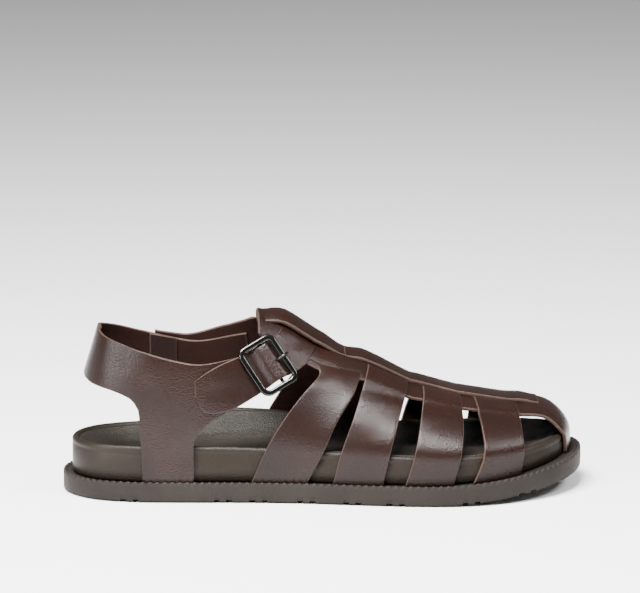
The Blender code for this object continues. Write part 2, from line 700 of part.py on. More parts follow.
def make_instep_strap(material):
    """Strap from the inner quarter, under the band, through the buckle to its tip."""
    index = np.concatenate([np.linspace(0, 3.3, 11), np.linspace(3.45, 4.75, 10),
                            np.linspace(5.0, len(INSTEP) - 1, 20)])
    numbered = [(k, *row) for k, row in enumerate(INSTEP)]
    span = []
    for a_col, g_col in ((1, 2), (3, 4)):
        edge = []
        anchor = [at_girth(r[a_col], abs(r[g_col]), -1 if r[g_col] < 0 else 1) for r in numbered]
        anchor = [(k, *p) for k, p in enumerate(anchor)]
        for c in (1, 2, 3):
            edge.append(curve(anchor, index, c))
        span.append(snap(np.column_stack(edge)))
    grid = between(span[0], span[1], 4)
    centre, along, across, out = buckle_frame_axes()
    rel = grid - centre
    d = rel @ along
    near = (np.abs(rel @ across) < BUCKLE_WIDTH / 2) * (index < 6)[:, None]
    past_bar = d - BAR_AHEAD
    reach = np.where(past_bar < 0, HUMP_BEHIND, HUMP_AHEAD)
    hump = smooth((reach - np.abs(past_bar)) / (reach - HUMP_TOP)) * near
    rd = np.abs(ridge_distance(grid))
    under = 1 - smooth(((rd - BRIDGE_WIDTH / 2) / WEAVE_RAMP + 0.25) / 0.75)
    base = LEATHER - EMBED
    reach = band_half(share(grid[..., 0]), ridge_distance(grid))
    inside = smooth((reach - rd) / WEAVE_RAMP)
    low = base + (EMBED - base) * inside * (1 - hump)
    inner, outer = lifted(grid, low, base + LEATHER - LEATHER * under)
    rise = (BAR_LEVEL + CENTRE_BAR / 2 + GAP - rel @ out - base) * hump
    lift = rise[..., None] * out
    return slab("instep_strap", inner + lift, outer + lift, material)


def rod(name, path, wire, plane, closed, material, sides=8):
    """Round bar along a path in a plane given by its normal, closed on itself or capped."""
    path = np.array(path, float)
    count = len(path)
    if closed:
        ahead = np.roll(path, -1, axis=0) - np.roll(path, 1, axis=0)
    else:
        ahead = np.gradient(path, axis=0)
    rings = []
    top = Vector(plane)
    for k in range(count):
        side = Vector(ahead[k]).cross(top).normalized()
        rings.append([Vector(path[k]) + (side * math.cos(2 * math.pi * s / sides)
                                         + top * math.sin(2 * math.pi * s / sides)) * wire / 2
                      for s in range(sides)])
    vertices = [v for ring in rings for v in ring]
    faces = []
    for k in range(count if closed else count - 1):
        m = (k + 1) % count
        for s in range(sides):
            r = (s + 1) % sides
            faces.append([k * sides + s, k * sides + r, m * sides + r, m * sides + s])
    if not closed:
        faces.append(list(range(sides)))
        faces.append(list(range((count - 1) * sides, count * sides)))
    return mesh_object(name, vertices, faces, material)


def buckle_matrix():
    centre, along, across, out = buckle_frame_axes()
    axes = Matrix((along, across, out)).transposed().to_4x4()
    return Matrix.Translation(Vector(centre)) @ axes


FRAME_LEVEL = 2 * LEATHER + TWIST_LIFT + GAP + BUCKLE_WIRE / 2 + FACET
BAR_LEVEL = LEATHER + GAP + CENTRE_BAR / 2


def make_buckle(material):
    """Rounded frame with a low bar across its middle."""
    half_x = (BUCKLE_LENGTH - BUCKLE_WIRE) / 2
    half_y = (BUCKLE_WIDTH - BUCKLE_WIRE) / 2
    corner = BUCKLE_CORNER - BUCKLE_WIRE / 2
    path = []
    for quadrant, (sx, sy) in enumerate(((1, 1), (-1, 1), (-1, -1), (1, -1))):
        for k in range(5):
            a = math.pi / 2 * (quadrant + k / 4)
            path.append((sx * (half_x - corner) + corner * math.cos(a),
                         sy * (half_y - corner) + corner * math.sin(a), FRAME_LEVEL))
    frame = rod("buckle_frame", path, BUCKLE_WIRE, (0, 0, 1), True, material)
    inner = half_y - BUCKLE_WIRE / 2
    ends = [(BAR_AHEAD, -half_y, FRAME_LEVEL), (BAR_AHEAD, -inner, BAR_LEVEL),
            (BAR_AHEAD, inner, BAR_LEVEL), (BAR_AHEAD, half_y, FRAME_LEVEL)]
    bar = rod("bar", ends, CENTRE_BAR, (1, 0, 0), False, material)
    unite(frame, [bar])
    frame.data.transform(buckle_matrix())
    frame.data.update()
    return frame


def make_prong(material):
    """Prong with an eye round the centre bar, out through the strap onto the frame."""
    eye_r = CENTRE_BAR / 2 + GAP + EYE_WALL / 2
    turns = np.arange(12) * 2 * math.pi / 12
    eye_path = [(BAR_AHEAD + eye_r * math.cos(a), 0, BAR_LEVEL + eye_r * math.sin(a))
                for a in turns]
    eye = rod("buckle_prong", eye_path, EYE_WALL, (0, 1, 0), True, material, 6)
    top = FRAME_LEVEL + BUCKLE_WIRE / 2 + GAP + PRONG_WIRE / 2
    far = (BUCKLE_LENGTH - BUCKLE_WIRE) / 2
    start = BAR_AHEAD + eye_r
    rise = top - BAR_LEVEL
    run = far - start
    path = [(start, 0, BAR_LEVEL), (start + 0.15 * run, 0, BAR_LEVEL + 0.28 * rise),
            (start + 0.38 * run, 0, BAR_LEVEL + 0.72 * rise),
            (start + 0.68 * run, 0, top - 0.05 * rise), (far, 0, top),
            (far + 0.8 * BUCKLE_WIRE, 0, top - 0.08 * rise)]
    shaft = rod("shaft", path, PRONG_WIRE, (0, 1, 0), False, material)
    unite(eye, [shaft])
    eye.data.transform(buckle_matrix())
    return eye


def box_cutter(size, centre, matrix):
    bpy.ops.mesh.primitive_cube_add(size=1)
    cutter = bpy.context.object
    cutter.data.transform(Matrix.Diagonal((*size, 1)))
    cutter.data.transform(Matrix.Translation(centre))
    cutter.data.transform(matrix)
    return cutter


def make_upper(material):
    """All straps as one wall, with the prong's slot cut through."""
    band = make_band(material)
    parts = [make_wing("wing_out", WING, -1, material),
             make_wing("wing_in", INNER_WING, 1, material)]
    parts += [make_cross_strap(name, table, material) for name, table in STRAPS.items()]
    parts += [make_bridge(f"bridge_{k}", a, b, ARCH_LIFT if k == 0 else WEAVE_LIFT, material)
              for k, (a, b) in enumerate(bridge_crossings())]
    parts.append(make_quarter(material))
    parts.append(make_instep_strap(material))
    unite(band, parts)
    place = buckle_matrix()
    pocket = CENTRE_BAR + 2 * (GAP + EYE_WALL + GAP)
    exit_run = HUMP_AHEAD - HUMP_TOP / 4
    slots = [box_cutter((pocket, PRONG_SLOT, pocket), (BAR_AHEAD, 0, BAR_LEVEL), place),
             box_cutter((exit_run, PRONG_SLOT, 3 * BUCKLE_WIRE),
                        (BAR_AHEAD + exit_run / 2, 0, BAR_LEVEL + 1.5 * BUCKLE_WIRE), place)]
    return unite(band, slots, "DIFFERENCE")


def make_material(name, colour, roughness, metallic=0.0):
    material = bpy.data.materials.new(name)
    material.use_nodes = True
    shader = material.node_tree.nodes["Principled BSDF"]
    shader.inputs["Base Color"].default_value = (*colour, 1)
    shader.inputs["Roughness"].default_value = roughness
    shader.inputs["Metallic"].default_value = metallic
    return material


def main():
    for old in list(bpy.data.objects):
        bpy.data.objects.remove(old)
    leather = make_material("dark brown leather", (0.065, 0.035, 0.030), 0.45)
    rubber = make_material("brown rubber", (0.085, 0.067, 0.058), 0.60)
    wrapped = make_material("footbed leather", (0.095, 0.075, 0.055), 0.50)
    lining = make_material("insole lining", (0.080, 0.065, 0.052), 0.55)
    metal = make_material("dark nickel", (0.12, 0.12, 0.12), 0.25, 1.0)
    make_outsole(rubber)
    make_footbed(wrapped)
    make_insole(lining)
    make_upper(leather)
    make_buckle(metal)
    make_prong(metal)


main()
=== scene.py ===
"""Looks of the woven sandal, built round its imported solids, in the part's own frame and sizes."""

import math

import bmesh
import bpy
import numpy as np
from mathutils import Matrix, Vector


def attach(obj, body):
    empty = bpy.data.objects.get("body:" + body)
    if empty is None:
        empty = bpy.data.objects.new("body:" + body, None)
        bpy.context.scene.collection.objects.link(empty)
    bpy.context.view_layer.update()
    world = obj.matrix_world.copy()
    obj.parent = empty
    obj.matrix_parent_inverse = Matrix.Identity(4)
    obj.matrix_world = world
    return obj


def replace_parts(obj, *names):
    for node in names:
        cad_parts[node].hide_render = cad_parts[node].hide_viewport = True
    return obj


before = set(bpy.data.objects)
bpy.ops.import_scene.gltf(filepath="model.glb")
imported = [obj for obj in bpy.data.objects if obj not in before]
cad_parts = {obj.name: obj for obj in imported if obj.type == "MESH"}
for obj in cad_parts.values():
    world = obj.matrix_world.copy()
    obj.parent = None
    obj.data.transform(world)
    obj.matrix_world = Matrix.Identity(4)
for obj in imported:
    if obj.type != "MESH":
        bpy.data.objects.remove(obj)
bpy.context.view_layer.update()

# Driving sizes
SOLE_LENGTH = 0.296
BED_LENGTH = 0.282
BALL_WIDTH = 0.100
HEEL_WELT = 0.0052
TOE_WELT = 0.0088
SOLE_THICK = 0.010
TOE_SPRING = 0.0105
SPRING_START = 0.055
TOOTH_PITCH = 0.0042
TOOTH_HEIGHT = 0.0018
GROOVE_WIDTH = 0.0032
GROOVE_DEPTH = 0.0016
GROOVE_SPACING = 0.0068
RIM_HEIGHT = 0.021
BED_DEPTH = 0.011
ARCH_RISE = 0.004
RIM_RISE = 0.0074
INSOLE_THICK = 0.0014
INSTEP_HEIGHT = 0.089
LEATHER = 0.0020
WEAVE_LIFT = 0.0015
WEAVE_RAMP = 0.004
ARCH_LIFT = 0.0030
EMBED = 0.0006
GAP = 0.0003
FACET = 0.0002
BRIDGE_WIDTH = 0.022
BAND_WIDTH = 0.050
INNER_MARGIN = 0.0045
HEEL_HALF_WIDTH = 0.034
BUCKLE_LENGTH = 0.024
BUCKLE_WIDTH = 0.0315
BUCKLE_CORNER = 0.0055
TWIST_LIFT = 0.0008
BUCKLE_WIRE = 0.0032
CENTRE_BAR = 0.0021
BAR_AHEAD = 0.0030
HUMP_BEHIND = 0.0105
HUMP_AHEAD = 0.0068
HUMP_TOP = 0.0020
PRONG_WIRE = 0.0017
EYE_WALL = 0.0009

# Footbed outline: share of the bed's length from the heel, share of the ball width from the axis
OUTLINE = [
    (0.000, 0.000), (0.012, -0.130), (0.050, -0.245), (0.120, -0.315), (0.220, -0.340),
    (0.340, -0.355), (0.460, -0.385), (0.580, -0.440), (0.700, -0.482), (0.790, -0.482),
    (0.860, -0.435), (0.920, -0.350), (0.965, -0.235), (0.990, -0.115), (1.000, 0.035),
    (0.990, 0.170), (0.960, 0.285), (0.910, 0.385), (0.840, 0.458), (0.760, 0.488),
    (0.680, 0.460), (0.580, 0.385), (0.470, 0.325), (0.360, 0.320), (0.240, 0.335),
    (0.130, 0.320), (0.050, 0.245), (0.012, 0.130),
]
# Sections of the last: share of the bed's length, value
RIDGE = [  # height of the ridge, share of the instep height
    (0.00, 1.449), (0.12, 1.46), (0.20, 1.505), (0.27, 1.472), (0.325, 1.270), (0.37, 1.135),
    (0.42, 1.088), (0.46, 1.008), (0.494, 0.938), (0.547, 0.871), (0.593, 0.815),
    (0.676, 0.675), (0.694, 0.660), (0.769, 0.590), (0.793, 0.575), (0.874, 0.534),
    (0.905, 0.531),
]
ROUND = [  # exponent of the arch: 2 is an ellipse, less is nearer a roof
    (0.0, 1.15), (0.10, 2.0), (0.2, 2.1), (0.35, 1.75), (0.5, 1.6), (0.7, 1.6), (0.9, 1.6),
    (1.0, 1.7),
]
RIDGE_SIDE = [(0.0, 0.0), (0.4, 0.02), (0.6, 0.04), (0.8, 0.05), (1.0, 0.035)]
RIM = [  # height of the footbed's rim over the sole, share of the rim height
    (0.0, 1.0), (0.3, 0.98), (0.5, 0.88), (0.65, 0.79), (0.85, 0.70), (1.0, 0.62),
]
INNER_RISE = [  # rise of the rim beside the arch, share of the rim rise
    (0.0, 0.0), (0.13, 0.0), (0.20, 0.45), (0.28, 1.0), (0.42, 1.0), (0.52, 0.45), (0.62, 0.0),
    (1.0, 0.0),
]
BED_DROP = [(0.0, 1.0), (0.3, 0.80), (0.6, 0.50), (0.85, 0.50), (1.0, 0.65)]
# Ridge over the toe: share of the way ahead to the toe, share of the way down to the welt
TOE_RIDGE = [
    (0.00, 0.00), (0.28, 0.01), (0.52, 0.065), (0.72, 0.185), (0.875, 0.350), (0.965, 0.500),
    (0.998, 0.650), (1.00, 1.00),
]
# Woven cross straps: share of the girth, then rear and front edges as shares of the bed's length
STRAPS = {
    "ball": [
        (0.00, 0.519, 0.618), (0.20, 0.535, 0.631), (0.42, 0.560, 0.648),
        (0.70, 0.584, 0.666), (1.00, 0.598, 0.675),
    ],
    "middle": [
        (0.00, 0.661, 0.756), (0.20, 0.678, 0.771), (0.42, 0.691, 0.779),
        (0.68, 0.701, 0.780), (1.00, 0.703, 0.777),
    ],
    "toe": [
        (0.00, 0.795, 0.891), (0.20, 0.815, 0.897), (0.45, 0.815, 0.897),
        (0.65, 0.811, 0.895), (1.00, 0.804, 0.889),
    ],
}
WING = [
    (0.00, 0.357, 0.469), (0.21, 0.391, 0.503), (0.36, 0.424, 0.524), (0.48, 0.451, 0.545),
    (0.58, 0.474, 0.562), (0.67, 0.493, 0.571), (0.72, 0.493, 0.576), (0.77, 0.465, 0.580),
    (0.86, 0.452, 0.588),
]
INNER_WING = [
    (0.00, 0.357, 0.469), (0.21, 0.391, 0.503), (0.36, 0.419, 0.524), (0.48, 0.440, 0.545),
    (0.58, 0.457, 0.562), (0.67, 0.472, 0.571), (0.72, 0.476, 0.576), (0.77, 0.462, 0.580),
    (0.86, 0.452, 0.588),
]
# Band along the ridge: share of the bed's length, half width as a share of the band's width
BAND = [
    (0.371, 0.42), (0.40, 0.46), (0.45, 0.52), (0.50, 0.53), (0.60, 0.52), (0.80, 0.52),
    (0.905, 0.49),
]
BAND_TOE = [(0.0, 0.49), (0.3, 0.48), (0.55, 0.46), (0.8, 0.40), (1.0, 0.34)]
# Instep strap, from its tip on the outer side: upper edge then lower edge, each as share of the
# bed's length and share of the girth, positive on the inner side
INSTEP = [
    (0.246, -0.425, 0.247, -0.365), (0.258, -0.447, 0.266, -0.303), (0.285, -0.503, 0.312, -0.340),
    (0.325, -0.603, 0.366, -0.460), (0.360, -0.691, 0.410, -0.553), (0.392, -0.768, 0.442, -0.628),
    (0.416, -0.853, 0.470, -0.735), (0.428, -0.999, 0.494, -0.985), (0.394, 0.945, 0.466, 0.760),
    (0.361, 0.837, 0.430, 0.645), (0.338, 0.750, 0.392, 0.540), (0.305, 0.645, 0.345, 0.425),
    (0.270, 0.560, 0.295, 0.350), (0.234, 0.528, 0.243, 0.325), (0.190, 0.538, 0.195, 0.335),
    (0.169, 0.551, 0.171, 0.350),
]
# Line of the instep strap behind, under and ahead of the buckle: shares of length and girth
BUCKLE_LINE = [(0.3515, 0.539), (0.389, 0.626), (0.422, 0.703)]
# Quarter, from the outer front round to the heel, the inner side mirrors it: lower edge then upper
# edge, each as run round the footbed from the heel, a share of its length, and as height, a share
# of the instep height. Height 0 is the welt.
QUARTER = [
    (-0.425, 0.664, -0.415, 0.922), (-0.388, 0.598, -0.384, 0.905), (-0.350, 0.532, -0.350, 0.884),
    (-0.325, 0.476, -0.331, 0.875), (-0.311, 0.426, -0.318, 0.872), (-0.304, 0.376, -0.308, 0.873),
    (-0.303, 0.300, -0.300, 0.875), (-0.303, 0.000, -0.296, 0.877), (-0.268, 0.000, -0.270, 0.893),
    (-0.235, 0.000, -0.245, 0.911), (-0.202, 0.000, -0.222, 0.931), (-0.200, 0.300, -0.216, 0.936),
    (-0.196, 0.544, -0.207, 0.944), (-0.191, 0.600, -0.196, 0.953), (-0.177, 0.655, -0.178, 0.970),
    (-0.138, 0.700, -0.143, 1.003), (-0.087, 0.725, -0.090, 1.038), (-0.045, 0.745, -0.045, 1.045),
    (0.000, 0.755, 0.000, 1.046),
]


def curve(table, key, column=1):
    """Smooth value of a table's column at a key, or at each of an array of keys."""
    keys = np.array([row[0] for row in table], float)
    values = np.array([row[column] for row in table], float)
    key = np.clip(np.asarray(key, float), keys[0], keys[-1])
    slopes = np.gradient(values, keys)
    slopes[1:-1] = (values[2:] - values[:-2]) / (keys[2:] - keys[:-2])
    i = np.clip(np.searchsorted(keys, key, side="right") - 1, 0, len(keys) - 2)
    step = keys[i + 1] - keys[i]
    t = (key - keys[i]) / step
    return ((2 * t**3 - 3 * t**2 + 1) * values[i] + (t**3 - 2 * t**2 + t) * step * slopes[i]
            + (3 * t**2 - 2 * t**3) * values[i + 1] + (t**3 - t**2) * step * slopes[i + 1])


def smooth(t):
    """Rises from 0 to 1 as t does, level at both ends."""
    t = np.clip(t, 0.0, 1.0)
    return t * t * (3 - 2 * t)


def runs(points):
    """Distance along a line at each of its points."""
    return np.concatenate([[0], np.cumsum(np.linalg.norm(np.diff(points, axis=0), axis=1))])


def on_line(points, run, at):
    """Points of a line at distances along it."""
    return np.stack([np.interp(at, run, column) for column in points.T], -1)


def closed_curve(points, steps=24):
    """Dense points on a smooth closed curve through the points, spaced by their chords."""
    points = np.array(points, float)
    count = len(points)
    dense = []
    for i in range(count):
        p0, p1, p2, p3 = (points[(i + k) % count] for k in (-1, 0, 1, 2))
        d1, d2, d3 = (math.sqrt(np.linalg.norm(b - a)) for a, b in ((p0, p1), (p1, p2), (p2, p3)))
        m1 = d2 * ((p1 - p0) / d1 - (p2 - p0) / (d1 + d2) + (p2 - p1) / d2)
        m2 = d2 * ((p2 - p1) / d2 - (p3 - p1) / (d2 + d3) + (p3 - p2) / d3)
        for t in np.arange(steps) / steps:
            dense.append((2 * t**3 - 3 * t**2 + 1) * p1 + (t**3 - 2 * t**2 + t) * m1
                         + (3 * t**2 - 2 * t**3) * p2 + (t**3 - t**2) * m2)
    return np.array(dense)


def resample(loop, count):
    """That many points at equal spacing round a closed loop, from its first point."""
    closed = np.vstack([loop, loop[:1]])
    run = runs(closed)
    return on_line(closed, run, np.arange(count) / count * run[-1])


def outward(loop):
    """Unit normals of a loop that runs from the heel along the outer side."""
    along = np.roll(loop, -1, axis=0) - np.roll(loop, 1, axis=0)
    along /= np.linalg.norm(along, axis=1)[:, None]
    return np.column_stack([along[:, 1], -along[:, 0]])


HEEL_X = HEEL_WELT - SOLE_LENGTH / 2
TOE_X = HEEL_X + BED_LENGTH
BED_LOOP = closed_curve([(HEEL_X + a * BED_LENGTH, c * BALL_WIDTH) for a, c in OUTLINE])
TOE_INDEX = int(np.argmax(BED_LOOP[:, 0]))
OUTER_SIDE = BED_LOOP[:TOE_INDEX + 1]
INNER_SIDE = np.vstack([BED_LOOP[TOE_INDEX:], BED_LOOP[:1]])[::-1]
PLAN = np.vstack([OUTER_SIDE[::-1], INNER_SIDE[1:]])
PLAN_RUN = runs(PLAN) - runs(PLAN)[TOE_INDEX]


def share(x):
    return (np.asarray(x, float) - HEEL_X) / BED_LENGTH


def spring(x):
    """Rise of the sole's underside towards the toe."""
    t = np.clip((np.asarray(x, float) - SPRING_START) / (SOLE_LENGTH / 2 - SPRING_START), 0, None)
    return TOE_SPRING * t**1.8


def bed_base(x):
    return SOLE_THICK + spring(x) + GAP + FACET


def rim_z(x):
    return SOLE_THICK + spring(x) + RIM_HEIGHT * curve(RIM, share(x))


def ridge_z(x):
    return INSTEP_HEIGHT * curve(RIDGE, share(x))


def ridge_y(x):
    return BALL_WIDTH * curve(RIDGE_SIDE, share(x))


def wall_y(x, side):
    """Where the upper's inner face stands beside the footbed; side is -1 outer or 1 inner."""
    outer = np.interp(x, OUTER_SIDE[:, 0], OUTER_SIDE[:, 1]) - GAP
    inner = np.interp(x, INNER_SIDE[:, 0], INNER_SIDE[:, 1]) + GAP
    return np.where(np.asarray(side) < 0, outer, inner)


def radius(x, angle):
    """Distance from the section's centre to the last; the angle is 0 up and positive inwards."""
    half = np.abs(wall_y(x, np.sign(angle)) - ridge_y(x))
    rise = np.maximum(ridge_z(x) - rim_z(x), 0.001)
    power = curve(ROUND, share(x))
    s, c = np.abs(np.sin(angle)), np.cos(angle)
    arch = ((s / half)**power + (np.maximum(c, 0) / rise)**power)**(-1 / power)
    return np.where(c > 0, arch, half / np.maximum(s, 1e-6))


def from_centre(points):
    """Places along the foot, then angle and distance from the centre of their sections."""
    x = points[..., 0]
    dy, dz = points[..., 1] - ridge_y(x), points[..., 2] - rim_z(x)
    return x, np.arctan2(dy, dz), np.hypot(dy, dz)


def on_last(x, angle):
    reach = radius(x, angle)
    return np.stack([x, ridge_y(x) + reach * np.sin(angle), rim_z(x) + reach * np.cos(angle)], -1)


def snap(points):
    """Moves points onto the last, within their own sections."""
    x, angle, _ = from_centre(np.asarray(points, float))
    return on_last(x, angle)


def height_over(points):
    x, angle, distance = from_centre(points)
    return distance - radius(x, angle)


def normals(points, step=0.0004):
    """Outward unit normals of the last at points on it."""
    parts = []
    for axis in range(3):
        shift = np.zeros(3)
        shift[axis] = step
        parts.append(height_over(points + shift) - height_over(points - shift))
    n = np.stack(parts, -1)
    return n / np.linalg.norm(n, axis=-1, keepdims=True)


def girth_line(x, side, samples=64):
    """Points from the welt up to the ridge on one side of a section."""
    low = np.array([[x, float(wall_y(x, side)), float(bed_base(x))]])
    angles = side * np.pi / 2 * (1 - np.arange(samples + 1) / samples)
    angles[-1] = side * 1e-6
    return np.vstack([low, on_last(np.full(samples + 1, x), angles)])


def at_girth(along, girth, side):
    """Point of the last at a share of the bed's length and a share of the girth."""
    line = girth_line(HEEL_X + along * BED_LENGTH, side)
    run = runs(line)
    return on_line(line, run, girth * run[-1])


def from_ridge(x, distance):
    """Points of the last at signed distances from the ridge, along the girth at x."""
    lines = {side: girth_line(x, side)[::-1] for side in (-1, 1)}
    return np.array([on_line(lines[side], runs(lines[side]), abs(d))
                     for d, side in zip(distance, np.where(np.asarray(distance) < 0, -1, 1))])


BED_INSETS = (0.044, 0.095, 0.160, 0.235)
BED_BOWL = (0.30, 0.66, 0.93, 1.0)
TOE_START = HEEL_X + BAND[-1][0] * BED_LENGTH
FRAME_LEVEL = 2 * LEATHER + TWIST_LIFT + GAP + BUCKLE_WIRE / 2 + FACET
BAR_LEVEL = LEATHER + GAP + CENTRE_BAR / 2


def band_half(along, side=-1):
    """Half width of the band, which reaches further down on the inner side."""
    return BAND_WIDTH * curve(BAND, along) + INNER_MARGIN * (np.asarray(side) > 0)


def ridge_distance(grid):
    """Signed distance from the ridge of each point of a grid, measured across the foot."""
    return grid[..., 1] - ridge_y(grid[..., 0])


def inset_ring(loop, normal, inset, z):
    flat = loop - normal * np.broadcast_to(inset, len(loop))[:, None]
    return np.column_stack([flat, np.broadcast_to(z, len(loop))])


def pairs_cap(loop_indices):
    """Faces that close a loop by strips between its two sides."""
    count = len(loop_indices)
    faces = [[loop_indices[0], loop_indices[1], loop_indices[-1]]]
    for k in range(1, count // 2 - 1):
        faces.append([loop_indices[k], loop_indices[k + 1], loop_indices[-k - 1], loop_indices[-k]])
    k = count // 2
    faces.append([loop_indices[k - 1], loop_indices[k], loop_indices[k + 1]])
    return faces


def inner_rise(loop):
    """Rise of the rim beside the arch, and how far the last leans in at that height."""
    x = loop[:, 0]
    rise = RIM_RISE * np.maximum(curve(INNER_RISE, share(x)), 0) * (loop[:, 1] > 0)
    half = np.abs(wall_y(x, 1) - ridge_y(x))
    power = curve(ROUND, share(x))
    lean = half * (1 - (1 - (rise / (ridge_z(x) - rim_z(x)))**power)**(1 / power))
    return rise, lean


def bed_heights(loop, level):
    """Height of the footbed's hollow at one of its rings."""
    along = share(loop[:, 0])
    drop = BED_DEPTH * curve(BED_DROP, along) * BED_BOWL[level]
    arch = np.exp(-((along - 0.42) / 0.16)**2) * (loop[:, 1] > 0)
    arch = ARCH_RISE * arch * (0.35, 0.9, 0.8, 0.35)[level]
    rise, _ = inner_rise(loop)
    return rim_z(loop[:, 0]) - drop + arch + rise * (0.85, 0.45, 0.12, 0.0)[level]


def toe_band_rows(count, columns):
    """The band's inner face and normals, from its last section over the toe to the welt."""
    front = TOE_X + GAP + FACET
    low = float(bed_base(front + LEATHER)) + FACET
    top = float(ridge_z(TOE_START))
    numbered = [(k / (len(TOE_RIDGE) - 1), *row) for k, row in enumerate(TOE_RIDGE)]
    run = runs(BED_LOOP)
    t = np.linspace(0, 1, count)
    ahead = curve(numbered, t, 1)
    down = curve(numbered, t, 2)
    path = np.column_stack([TOE_START + (front - TOE_START) * ahead, top - (top - low) * down])
    along = np.gradient(path, axis=0)
    along /= np.linalg.norm(along, axis=1)[:, None]
    facing = np.column_stack([-along[:, 1], along[:, 0]])
    facing[0], facing[-1] = (0.0, 1.0), (1.0, 0.0)
    rows = []
    for k in range(count):
        half = BAND_WIDTH * float(curve(BAND_TOE, t[k]))
        d = np.linspace(-half, half + INNER_MARGIN, columns)
        section = from_ridge(TOE_START, d)
        across, sink = section[:, 1] - float(ridge_y(TOE_START)), top - section[:, 2]
        plan = on_line(BED_LOOP, run, run[TOE_INDEX] + d)
        turn = float(smooth(math.atan2(facing[k, 0], facing[k, 1]) / (math.pi / 2)))
        y = (ridge_y(TOE_START) + across) * (1 - turn) + plan[:, 1] * turn
        back = sink * (1 - turn) + (TOE_X - plan[:, 0]) * turn
        rows.append(np.column_stack([path[k, 0] - facing[k, 0] * back, y,
                                     path[k, 1] - facing[k, 1] * back]))
    return np.array(rows)


def grid_normals(grid):
    """Outward normals of a grid whose rows run forward and columns run inwards."""
    down = np.gradient(grid, axis=0)
    across = np.gradient(grid, axis=1)
    n = np.cross(down, across)
    return n / np.linalg.norm(n, axis=-1, keepdims=True)


def bridge_crossings():
    """Front and rear of each place where the band's middle passes over a strap."""
    spans = [(table[-1][1], table[-1][2]) for table in STRAPS.values()]
    return [(0.418, 0.500)] + spans


def heel_point(run, height):
    """Point of the heel part at signed runs round the footbed from the heel, and heights."""
    plan = on_line(PLAN, PLAN_RUN, run)
    ahead = on_line(PLAN, PLAN_RUN, run + 0.001) - on_line(PLAN, PLAN_RUN, run - 0.001)
    ahead /= np.linalg.norm(ahead, axis=1)[:, None]
    out = np.column_stack([-ahead[:, 1], ahead[:, 0]])
    x = plan[:, 0]
    power = curve(ROUND, share(x))
    q = np.clip((height - rim_z(x)) / (ridge_z(x) - rim_z(x)), 0, 0.98)
    lean = HEEL_HALF_WIDTH * (1 - (1 - q**power)**(1 / power))
    points = np.column_stack([plan + out * (GAP - lean)[:, None], height])
    near = smooth((share(x) - 0.12) / 0.08)[:, None]
    return points * (1 - near) + snap(points) * near


def quarter_rows():
    """Rows of the quarter as runs and heights, with more where the edges bend."""
    table = QUARTER + [(-a, b, -c, d) for a, b, c, d in reversed(QUARTER[:-1])]
    rows = [(k, a * BED_LENGTH, b * INSTEP_HEIGHT, c * BED_LENGTH, d * INSTEP_HEIGHT)
            for k, (a, b, c, d) in enumerate(table)]
    index = []
    for k in range(len(rows) - 1):
        parts = 1 if rows[k][2] * rows[k + 1][2] == 0 else 2
        index += list(k + np.arange(parts) / parts)
    index = np.array(index + [len(rows) - 1])
    low_run, low, top_run, top = (curve(rows, index, column) for column in (1, 2, 3, 4))
    stands = np.interp(index, range(len(rows)), [row[2] == 0 for row in rows]) > 0.99
    return low_run, np.where(stands, 0.0, low), top_run, top


def buckle_frame_axes():
    """Centre of the buckle on the last, and its axes: along the strap, across it, out."""
    behind, centre, ahead = (at_girth(*place, -1) for place in BUCKLE_LINE)
    along = (ahead - behind) / np.linalg.norm(ahead - behind)
    rim = np.cross(normals(centre), along) * BUCKLE_WIDTH / 2
    low, high = snap(np.array([centre - rim, centre + rim]))
    out = np.cross(along, high - low)
    out /= np.linalg.norm(out)
    return centre, along, np.cross(out, along), out


def buckle_matrix():
    centre, along, across, out = buckle_frame_axes()
    axes = Matrix((along, across, out)).transposed().to_4x4()
    return Matrix.Translation(Vector(centre)) @ axes


CLOUD_SCALE = 38.0
PORES_PER_CELL = 2.4
GRAIN_HEIGHT = 0.0003
WEAR_SCALE = 420.0


def socket(shader, name, value):
    shader.inputs[name].default_value = value


def added(m, kind, values=(), links=(), **settings):
    """New node of a material, with its settings, input values and links from other nodes."""
    node = m.node_tree.nodes.new(kind)
    for name, value in settings.items():
        setattr(node, name, value)
    for name, value in values:
        socket(node, name, value)
    for name, source in links:
        m.node_tree.links.new(source, node.inputs[name])
    return node


def new_material(name):
    """Material with its shader and the object's own coordinates."""
    m = bpy.data.materials.new(name)
    m.use_nodes = True
    return m, m.node_tree.nodes["Principled BSDF"], added(m, "ShaderNodeTexCoord").outputs["Object"]


